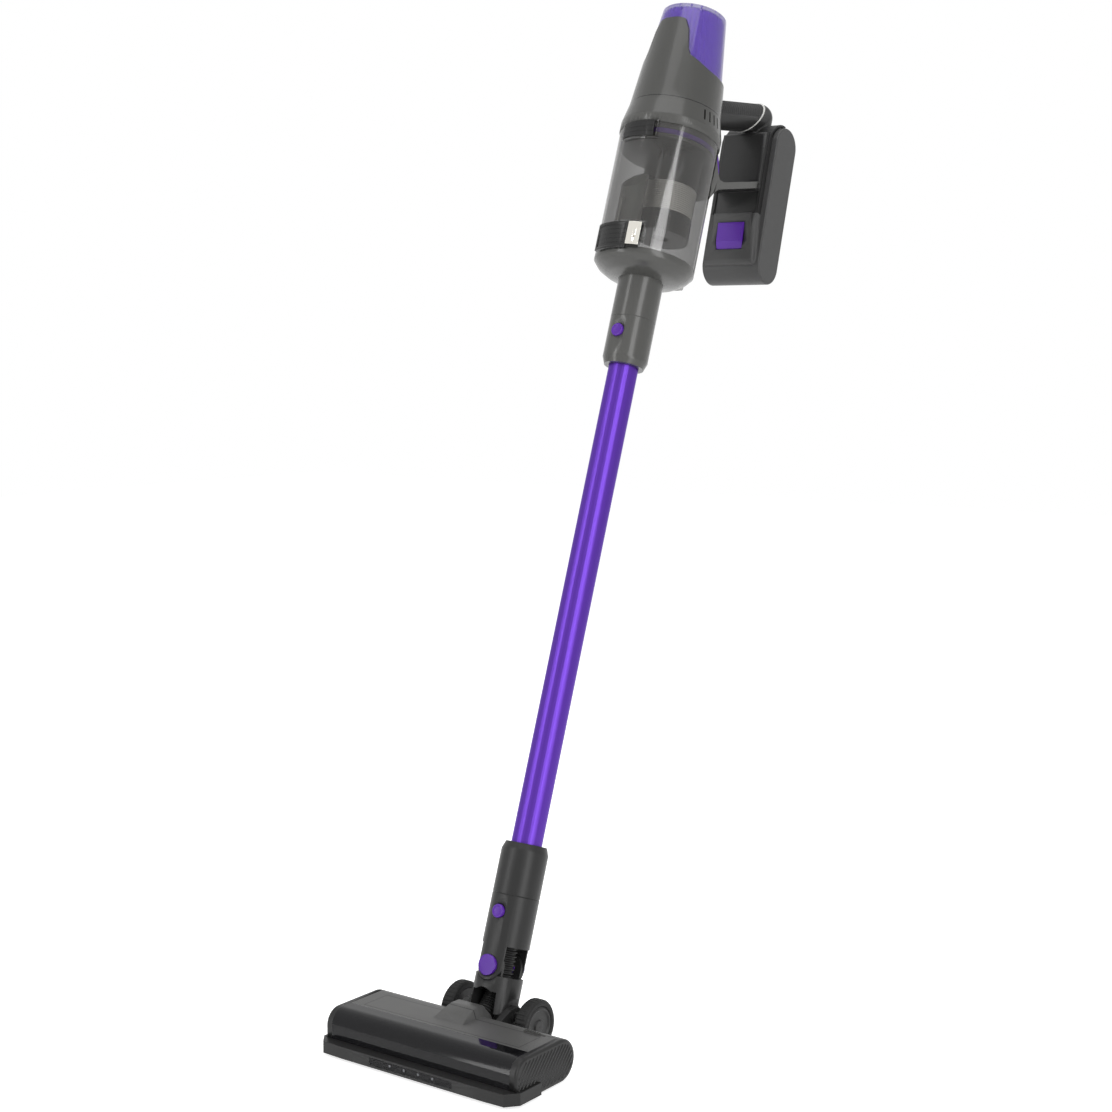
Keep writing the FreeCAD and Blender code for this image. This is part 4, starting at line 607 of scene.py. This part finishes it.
def grip_surface(count, rows=420, columns=25):
    """Rows along the bar and columns round its upper half. Radius = bar radius less a wave,
    fading at both ends; the far end of each line lies on the slanted cut."""
    along = np.array([0.0, math.cos(BAR_TILT), math.sin(BAR_TILT)])
    above = np.array([0.0, -math.sin(BAR_TILT), math.cos(BAR_TILT)])
    cut = np.array([0.0, math.cos(MITRE_TILT), -math.sin(MITRE_TILT)])
    root = np.array([0.0, BAR_ROOT_Y, BAR_ROOT_Z])
    mitre = root + along * (MITRE_Y - BAR_ROOT_Y) / along[1]
    near = (PAD_START_Y - BAR_ROOT_Y) / along[1]
    share = np.linspace(0, 1, rows)[:, None]
    angle = np.linspace(-math.pi / 2, math.pi / 2, columns)[None, :]
    inner, outer = [], []
    for radius, store in ((BAR_R, outer), (BAR_R - PAD_THICK, inner)):
        out = radius * (np.sin(angle)[..., None] * SIDE + np.cos(angle)[..., None] * above)
        far = ((mitre - root - out) @ cut - TRIM_HALF) / (along @ cut)
        distance = near + share * (far - near)
        end_fade = np.clip(np.minimum(share, 1 - share) * END_FADE, 0, 1)
        fade = end_fade * np.clip(np.cos(angle) * SIDE_FADE, 0, 1)
        teeth = (0.5 - 0.5 * np.cos(2 * math.pi * count * share)) ** RIB_ROUNDNESS
        depth = GROOVE_DEPTH * (1 - teeth) * fade if store is outer else 0 * fade
        scale = (radius - depth) / radius
        store.append(root + along * distance[..., None] + out * scale[..., None])
    ring = np.concatenate([outer[0], inner[0][:, ::-1]], axis=1)
    points = in_wand(ring[..., 0], ring[..., 1], ring[..., 2])
    mesh = mesh_from("grip_pad_ribbed", points, grid_faces(rows, 2 * columns, False, True))
    tidy_mesh(mesh, 50.0)
    return mesh


add_piece("grip_pad_ribbed", grip_surface(GRIP_RIBS), "main_unit", GRIP_RUBBER, ("grip_pad",))
print("grip", span("grip_pad"))

# %% [markdown]
# ## The hoses
# Dirt passes the two joints of the neck inside corrugated hoses. Each is a circle carried along a
# path, and the corrugation is a wave on its radius. The lower hose follows a curve drawn from three
# points: its two ends, and the place towards which both ends point.

# %% Hoses
def hose_mesh(name, path, outer, inner, folds, columns=48):
    """Tube along a path of points. Radius = outer less a wave of one period for each fold."""
    step = np.gradient(path, axis=0)
    step = step / np.linalg.norm(step, axis=1)[:, None]
    across = np.broadcast_to(SIDE, step.shape)
    other = np.cross(step, across)
    angle = np.linspace(0, 2 * math.pi, columns, endpoint=False)[None, :, None]
    ring = np.cos(angle) * across[:, None] + np.sin(angle) * other[:, None]
    wave = 0.5 - 0.5 * np.cos(2 * math.pi * folds * np.linspace(0, 1, len(path)))
    outside = path[:, None] + ring * (outer - FOLD_DEPTH * (1 - wave))[:, None, None]
    inside = path[::-1, None] + ring[::-1] * inner
    profile = np.concatenate([outside, inside], axis=0)
    mesh = mesh_from(name, profile, grid_faces(*profile.shape[:2], True, True))
    tidy_mesh(mesh, 60.0, fill=False)
    return mesh


def put_in_place(mesh, place):
    """Moves a mesh from millimetres along a set of directions to its place in the model."""
    flat = np.zeros(len(mesh.vertices) * 3)
    mesh.vertices.foreach_get("co", flat)
    mesh.vertices.foreach_set("co", place(*flat.reshape(-1, 3).T).ravel())


def hose(mesh, node, start, end):
    """Adds a hose as a piece of its own, with the hose finish, in place of a node."""
    piece = bpy.data.objects.new(mesh.name, mesh)
    bpy.context.scene.collection.objects.link(piece)
    mesh.materials.append(HOSE_RUBBER)
    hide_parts(node)
    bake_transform(piece)


FOLD_DEPTH = 1.8
UPPER_HOSE_R = (13.3, 10.2)
LOWER_HOSE_R = (12.1, 9.3)
UPPER_FOLDS = 12
LOWER_FOLDS = 13
HOSE_EASE = 0.1
LOWER_HOSE_RISE = 20.8
LOWER_HOSE_BEND = (0, 0.5, 1.5)
LOWER_HOSE_FOOT = (0, -28.9, -6.0)
LEAN = math.atan2(UP[1], UP[2])

low, high = span("upper_hose")
rise_line = np.linspace(low + HOSE_EASE, high - HOSE_EASE, 145)
upper_path = np.stack([0 * rise_line, 0 * rise_line, rise_line], -1)
upper = hose_mesh("upper_hose_folds", upper_path, *UPPER_HOSE_R, UPPER_FOLDS)
put_in_place(upper, in_wand)
hose(upper, "upper_hose", in_wand(0, 0, 62), in_wand(0, 0, 30))

top = (0, LOWER_HOSE_RISE * math.sin(LEAN), LOWER_HOSE_RISE * math.cos(LEAN))
top, bend, foot = np.array([top, LOWER_HOSE_BEND, LOWER_HOSE_FOOT])
t = np.linspace(0, 1, 121)[:, None]
bend_path = (1 - t) ** 2 * top + 2 * t * (1 - t) * bend + t ** 2 * foot
lower = hose_mesh("lower_hose_folds", bend_path, *LOWER_HOSE_R, LOWER_FOLDS)
put_in_place(lower, on_floor)
hose(lower, "lower_hose", on_floor(0, 5, 14), on_floor(0, -18, -4))
print("hoses", len(upper.vertices), len(lower.vertices))

# %% [markdown]
# ## Wheels
# A wheel is a soft tyre over a harder dished hub. Both are turned about the axle, and the tread is
# a set of shallow notches: the radius drops a little wherever a wave round the wheel is low.

# %% Wheels
WHEEL_HUB = moulded("wheel hub plastic", light(38, 38, 38), 0.4, 900.0, 0.08)
AXLE_Y = 7.6
AXLE_Z = -6.0
TREAD_START = 25.6
TREAD_DEPTH = 0.5
TREAD_NOTCHES = 36
NOTCH_STEEPNESS = 3
TREAD_SLOPE = 1.2


def axle_place(side):
    """Turns (across, out, along) into points round the wheels' axle, on one side of the head."""
    def place(across, out, along):
        return on_floor(side * along, AXLE_Y + across, AXLE_Z + out)
    return place


def tread(angle, distance, height):
    """Distance less the tread's depth in the notches, only where the distance is largest."""
    notch = np.clip(np.sin(TREAD_NOTCHES * angle) * NOTCH_STEEPNESS - 1, 0, 1)
    return distance - TREAD_DEPTH * notch * np.clip((distance - TREAD_START) / TREAD_SLOPE, 0, 1)


TYRE = [
    (20.2, 40.2, 0.5), (24.5, 40.1, 1.5), (26.9, 42.6, 2.0), (26.9, 51.4, 2.0),
    (24.5, 53.9, 1.5), (21.5, 53.9, 0.6), (20.4, 52.9, 0.3), (20.2, 52.9, 0.3),
]
HUB = [
    (3.3, 40.2, 0.3), (20.0, 40.2, 0.5), (20.0, 52.6, 0.6), (18.0, 53.7, 0.6),
    (17.0, 53.7, 0.5), (15.5, 52.1, 0.8), (7.0, 52.1, 0.8), (6.0, 53.7, 0.6),
    (0.4, 53.9, 0.2), (0.4, 50.2, 0.2), (3.3, 50.2, 0.2),
]
for side, node_name in ((1, "wheel_right"), (-1, "wheel_left")):
    body = nodes[node_name]["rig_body"]
    tyre = turned(node_name + "_tyre", TYRE, axle_place(side), 288, tread)
    hub = turned(node_name + "_hub", HUB, axle_place(side), 96)
    add_piece(node_name + "_tyre", tyre, body, TYRE_RUBBER, (node_name,))
    add_piece(node_name + "_hub", hub, body, WHEEL_HUB, (node_name,))

# %% [markdown]
# ## Brush
# The bristles stand in strips set round the roller. Each strip is a wedge, and its outer edge is
# cut into tufts by a wave along its length.

# %% Brush bristles
BRUSH_Y = -87.0
BRUSH_Z = -13.0
BRUSH_LEFT = -99.8
BRUSH_RIGHT = 97.8
ROOT_R = 13.05
BRISTLE_LENGTH = 6.1
TUFT_GAP_DEPTH = 1.1
TUFT_PITCH = 4.0
STRIP_HALF_ANGLE = 12.5


def bristle_strips(strips=4, rows=260):
    """For each strip, across its width and along the roller: radius = root plus bristle length,
    less a little between tufts; angle = strip start plus half width, narrower at the foot."""
    grids = []
    across = np.array([-1, -1, -0.6, 0.0, 0.6, 1, 1, 0.0])[None, :]
    out = np.array([0.02, 0.92, 1.0, 1.0, 1.0, 0.92, 0.02, 0.02])[None, :]
    along = np.linspace(BRUSH_LEFT, BRUSH_RIGHT, rows)[:, None]
    tuft = 0.5 + 0.5 * np.cos(2 * math.pi * (along - BRUSH_LEFT) / TUFT_PITCH)
    radius = ROOT_R + (BRISTLE_LENGTH - TUFT_GAP_DEPTH * (1 - tuft)) * out
    for k in range(strips):
        angle = k * math.pi / 2 + np.radians(STRIP_HALF_ANGLE) * across * (0.7 + 0.3 * out)
        forward = BRUSH_Y + radius * np.cos(angle)
        height = BRUSH_Z + radius * np.sin(angle)
        grids.append(on_floor(along + 0 * out, forward, height))
    mesh = mesh_from("brush_tufts", *stack_grids(grids))
    tidy_mesh(mesh, 40.0)
    return mesh


add_piece("brush_tufts", bristle_strips(), "brush", BRISTLE, ("brush_bristles",))

# %% [markdown]
# ## Filter
# The filter folds a long strip of paper into a cone, so that more of it meets the air. The radius
# is a zigzag round the cone.

# %% Pleated filter
filter_low, filter_high = span("filter_element")
filter_r = reach("filter_element")
PLEATS = 40
PLEAT_DEPTH = 3.6
PLEAT_START = 29.5
FILTER_EASE = 0.1
FILTER_TAPER = 7.5
FOOT_BORE = 28.8
TOP_BORE = 27.0


def pleats(angle, distance, height):
    """Distance less a zigzag round the cone, only on the outside."""
    zigzag = np.abs(((PLEATS * angle / (2 * math.pi)) % 1) * 2 - 1)
    return distance - PLEAT_DEPTH * zigzag * (distance > PLEAT_START)


FILTER = [
    (FOOT_BORE, filter_low + FILTER_EASE, 0), (filter_r - 0.2, filter_low + FILTER_EASE, 0),
    (filter_r - FILTER_TAPER, filter_high - FILTER_EASE, 0), (TOP_BORE, filter_high - FILTER_EASE, 0),
]
pleated = turned("filter_element_pleats", FILTER, in_wand, 400, pleats)
add_piece("filter_element_pleats", pleated, "filter", PAPER, ("filter_element",))
print("filter", filter_low, filter_high, filter_r)

# %% [markdown]
# ## Release buttons
# The two round buttons on the wand's sockets have a shallow dish for a thumb and a rounded rim.

# %% Wand buttons
def button_place(station):
    """Turns (across, out, along) into points round a button's axis; along runs forwards."""
    def place(across, out, along):
        return in_wand(across, -along, station + out)
    return place


for node_name in ("wand_button", "foot_button"):
    lowest, highest = span(node_name)
    radius = (highest - lowest) / 2
    deepest, proudest = (-v for v in span(node_name, BACK)[::-1])
    outline = [
        (0, deepest, 0), (radius, deepest, 0.3), (radius, proudest - 0.2, 0.9),
        (radius - 1.6, proudest, 0.8), (radius - 2.6, proudest - 0.5, 0.8), (0, proudest - 0.8, 0),
    ]
    dished = turned(node_name + "_dished", outline, button_place((lowest + highest) / 2), 72)
    add_piece(node_name + "_dished", dished, nodes[node_name]["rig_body"], PURPLE_PLASTIC, (node_name,))
    print(node_name, "radius", round(radius, 2), "face at", round(proudest, 2))

# %% [markdown]
# ## Ribs on the end caps
# Both ends of the floor head have fine diagonal ribs, which hide scuffs. Each rib is a low arch
# carried along a straight line, and the line is cut where it leaves the cap's own outline. The
# outline is convex, so each of its sides simply moves one end of the line inwards.

# %% End cap ribs
CAP_FRONT, CAP_BACK, CAP_TOP, CAP_LOW = -116.0, -23.0, 11.0, -31.0
CAP_NOSE_R = 17.0
CAP_MARGIN = 4.2
CAP_FACE_X = 120.0
RIB_HEADING = (0.68, 0.73)
RIB_SLOPE = 0.6
RIB_SUNK = 0.1
RIB_EDGE_SUNK = 0.3
SHORTEST_RIB = 4.0


def cap_outline(inset, steps=10):
    """Side outline of the floor head as (y, z): a front corner arc, a flat top, a round tail."""
    front, back, top, low = CAP_FRONT + inset, CAP_BACK - inset, CAP_TOP - inset, CAP_LOW + inset
    turn = np.linspace(0, math.pi / 2, steps)
    nose = CAP_NOSE_R - inset
    nose_arc = np.stack([front + nose * (1 - np.cos(turn)), top - nose * (1 - np.sin(turn))], -1)
    half = (top - low) / 2
    sweep = np.linspace(math.pi / 2, -math.pi / 2, 2 * steps)
    tail_y = back - half + half * np.cos(sweep)
    tail_z = (top + low) / 2 + half * np.sin(sweep)
    tail_arc = np.stack([tail_y, tail_z], -1)
    return np.concatenate([[[front, low]], nose_arc, tail_arc])


def clip_line(start, heading, outline):
    """The stretch of a line inside a convex outline: the latest entry and the earliest exit."""
    edge = np.roll(outline, -1, axis=0) - outline
    inward = np.stack([edge[:, 1], -edge[:, 0]], -1)
    level = np.einsum("ij,ij->i", inward, outline - start)
    slope = inward @ heading
    reach_along = level / np.where(np.abs(slope) < 1e-9, 1e-9, slope)
    return reach_along[slope > 0].max(), reach_along[slope < 0].min()


def cap_ribs(side, pitch=4.2, half_width=1.45, height=0.9):
    """Ribs across one end cap: an arch of cosines, lying along each clipped line."""
    heading = np.array(RIB_HEADING)
    across = np.array([-heading[1], heading[0]])
    outline = cap_outline(CAP_MARGIN)
    middle = outline.mean(axis=0)
    bow = np.linspace(-1, 1, 7)
    grids = []
    for k in range(-16, 17):
        begin, end = clip_line(middle + across * pitch * k, heading, outline)
        if end - begin < SHORTEST_RIB:
            continue
        along = np.array([begin, begin + RIB_SLOPE, end - RIB_SLOPE, end])[:, None]
        arch = np.array([0.0, 1.0, 1.0, 0.0])[:, None] * height * np.cos(bow * math.pi / 2)
        rise = arch - RIB_SUNK
        rise[:, [0, -1]] = -RIB_EDGE_SUNK
        flat = (middle + across * pitch * k)[None, None] + along[..., None] * heading
        flat = flat + (bow * half_width)[None, :, None] * across
        grids.append(on_floor(side * (CAP_FACE_X + rise), flat[..., 0], flat[..., 1]))
    return grids


rib_mesh = mesh_from("end_cap_ribs", *stack_grids(cap_ribs(1) + cap_ribs(-1)))
tidy_mesh(rib_mesh, 60.0)
add_piece("end_cap_ribs", rib_mesh, "floor_head", CAP_PLASTIC, ("end_caps",))
print("rib points", len(rib_mesh.vertices))

# %% [markdown]
# ## Lamps in the bumper
# Four small lamps sit behind the dark strip of the bumper. Each is a low dome, a quarter circle
# turned about the direction it shines in.

# %% Bumper lamps
LAMP_X = (-27.0, -9.0, 9.0, 27.0)
STRIP_Y = -125.4
STRIP_Z = -23.3


def lamp_dome(x, radius=1.3):
    """A quarter circle turned about an axis that points forwards, at a distance x across."""
    bow = np.linspace(0, math.pi / 2, 9)
    angle = np.linspace(0, 2 * math.pi, 24, endpoint=False)[:, None]
    out = radius * np.sin(bow)
    across, height = out * np.cos(angle), out * np.sin(angle)
    forward = np.broadcast_to(STRIP_Y - 0.6 * radius * np.cos(bow), across.shape)
    return on_floor(x + across, forward, STRIP_Z + height)


domes = [lamp_dome(x) for x in LAMP_X]
lamp_points = np.concatenate([dome.reshape(-1, 3) for dome in domes])
turns, steps = domes[0].shape[:2]
dome_faces = grid_faces(turns, steps, True, False)
lamp_faces = np.concatenate([dome_faces + k * turns * steps for k in range(len(domes))])
lamp_mesh = mesh_from("bumper_lamps", lamp_points, lamp_faces)
tidy_mesh(lamp_mesh)
add_piece("bumper_lamps", lamp_mesh, "floor_head", LAMP, ())
print("bumper lamps", len(domes))

# %% [markdown]
# ## World and floor
# The backdrop and the floor look plain white to the camera, also in reflections and through clear
# plastic. They light the machine much less than that, and more from behind than from in front.

# %% World and floor
def background_seen(tree):
    """1 where the camera sees the background, directly, in a reflection or through glass."""
    path = tree.nodes.new("ShaderNodeLightPath")
    camera_ray, clear_ray = path.outputs["Is Camera Ray"], path.outputs["Is Transmission Ray"]
    direct = math_node(tree, "MAXIMUM", camera_ray, clear_ray)
    return math_node(tree, "MAXIMUM", direct, path.outputs["Is Glossy Ray"])


scene = bpy.context.scene
scene.view_settings.view_transform = "Standard"
REAR = (-0.6, 0.8, 0.0)
FRONT_LIGHT = 0.24
REAR_LIGHT = 0.9
FLOOR_GLOW = 0.72
FLOOR_REACH = 6000.0
FLOOR_LEVEL = -33.2
world = bpy.data.worlds.new("studio")
scene.world = world
world.use_nodes = True
sky = world.node_tree
backdrop = sky.nodes["Background"]
behind = sky.nodes.new("ShaderNodeMapRange")
behind.interpolation_type = "SMOOTHSTEP"
behind.inputs["From Min"].default_value = 0.25
behind.inputs["From Max"].default_value = 0.75
behind.inputs["To Min"].default_value = FRONT_LIGHT
behind.inputs["To Max"].default_value = REAR_LIGHT
link(sky, dot_along(sky, "Generated", REAR), behind.inputs["Value"])
backdrop.inputs["Color"].default_value = (1.0, 1.0, 1.0, 1.0)
strength = math_node(sky, "MAXIMUM", background_seen(sky), behind.outputs["Result"])
link(sky, strength, backdrop.inputs["Strength"])

floor_x = FLOOR_REACH * np.array([-1.0, 1.0, 1.0, -1.0])
floor_y = FLOOR_REACH * np.array([-1.0, -1.0, 1.0, 1.0])
floor_points = on_floor(floor_x, floor_y, FLOOR_LEVEL)
floor_mesh = mesh_from("floor", floor_points, np.array([[0, 1, 2, 3]]))
floor = bpy.data.objects.new("floor", floor_mesh)
scene.collection.objects.link(floor)
floor_white = bpy.data.materials.new("floor white")
floor_white.use_nodes = True
floor_tree = floor_white.node_tree
floor_shader = floor_tree.nodes["Principled BSDF"]
floor_shader.inputs["Base Color"].default_value = (0.9, 0.9, 0.9, 1.0)
floor_shader.inputs["Roughness"].default_value = 0.9
floor_shader.inputs["Specular IOR Level"].default_value = 0.0
floor_shader.inputs["Emission Color"].default_value = (1.0, 1.0, 1.0, 1.0)
floor_glow = math_node(floor_tree, "MULTIPLY", background_seen(floor_tree), FLOOR_GLOW)
link(floor_tree, floor_glow, floor_shader.inputs["Emission Strength"])
floor_mesh.materials.append(floor_white)

# %% [markdown]
# ## Lamps
# Soft lamps stand round the machine like the panels of a studio, tall and narrow enough to draw
# long highlights down the round parts.

# %% Lamps
CENTRE = Vector(in_wand(0, 0, 600).tolist())


def panel(name, offset, width, height, power):
    """A soft lamp at an offset from the middle of the machine, turned towards it."""
    lamp = bpy.data.lights.new(name, "AREA")
    lamp.shape = "RECTANGLE"
    lamp.size = width
    lamp.size_y = height
    lamp.energy = power
    stand = bpy.data.objects.new(name, lamp)
    scene.collection.objects.link(stand)
    stand.location = CENTRE + Vector(offset)
    stand.rotation_euler = (-Vector(offset)).to_track_quat("-Z", "Y").to_euler()


panel("panel_left", (-1.1, -2.3, 0.5), 0.6, 2.8, 30)
panel("panel_right", (2.3, -1.2, 0.4), 1.0, 2.8, 46)
panel("panel_top", (0.2, -0.3, 2.6), 2.2, 2.2, 34)

# %% [markdown]
# ## Camera
# The camera stands in front and to the right of the machine, level with the wand, and looks
# slightly down.

# %% Camera
EYE = Vector(PITCH_AXIS.tolist()) + Vector((1.1571, -1.4487, 0.6733))
AHEAD = Vector((-0.5929, 0.7974, -0.1127))
camera = bpy.data.objects.new("camera", bpy.data.cameras.new("camera"))
camera.data.lens = 61.51
camera.data.sensor_width = 36.0
camera.location = EYE
camera.rotation_euler = AHEAD.to_track_quat("-Z", "Y").to_euler()
scene.collection.objects.link(camera)
scene.camera = camera
print("camera at", tuple(round(v, 3) for v in EYE))
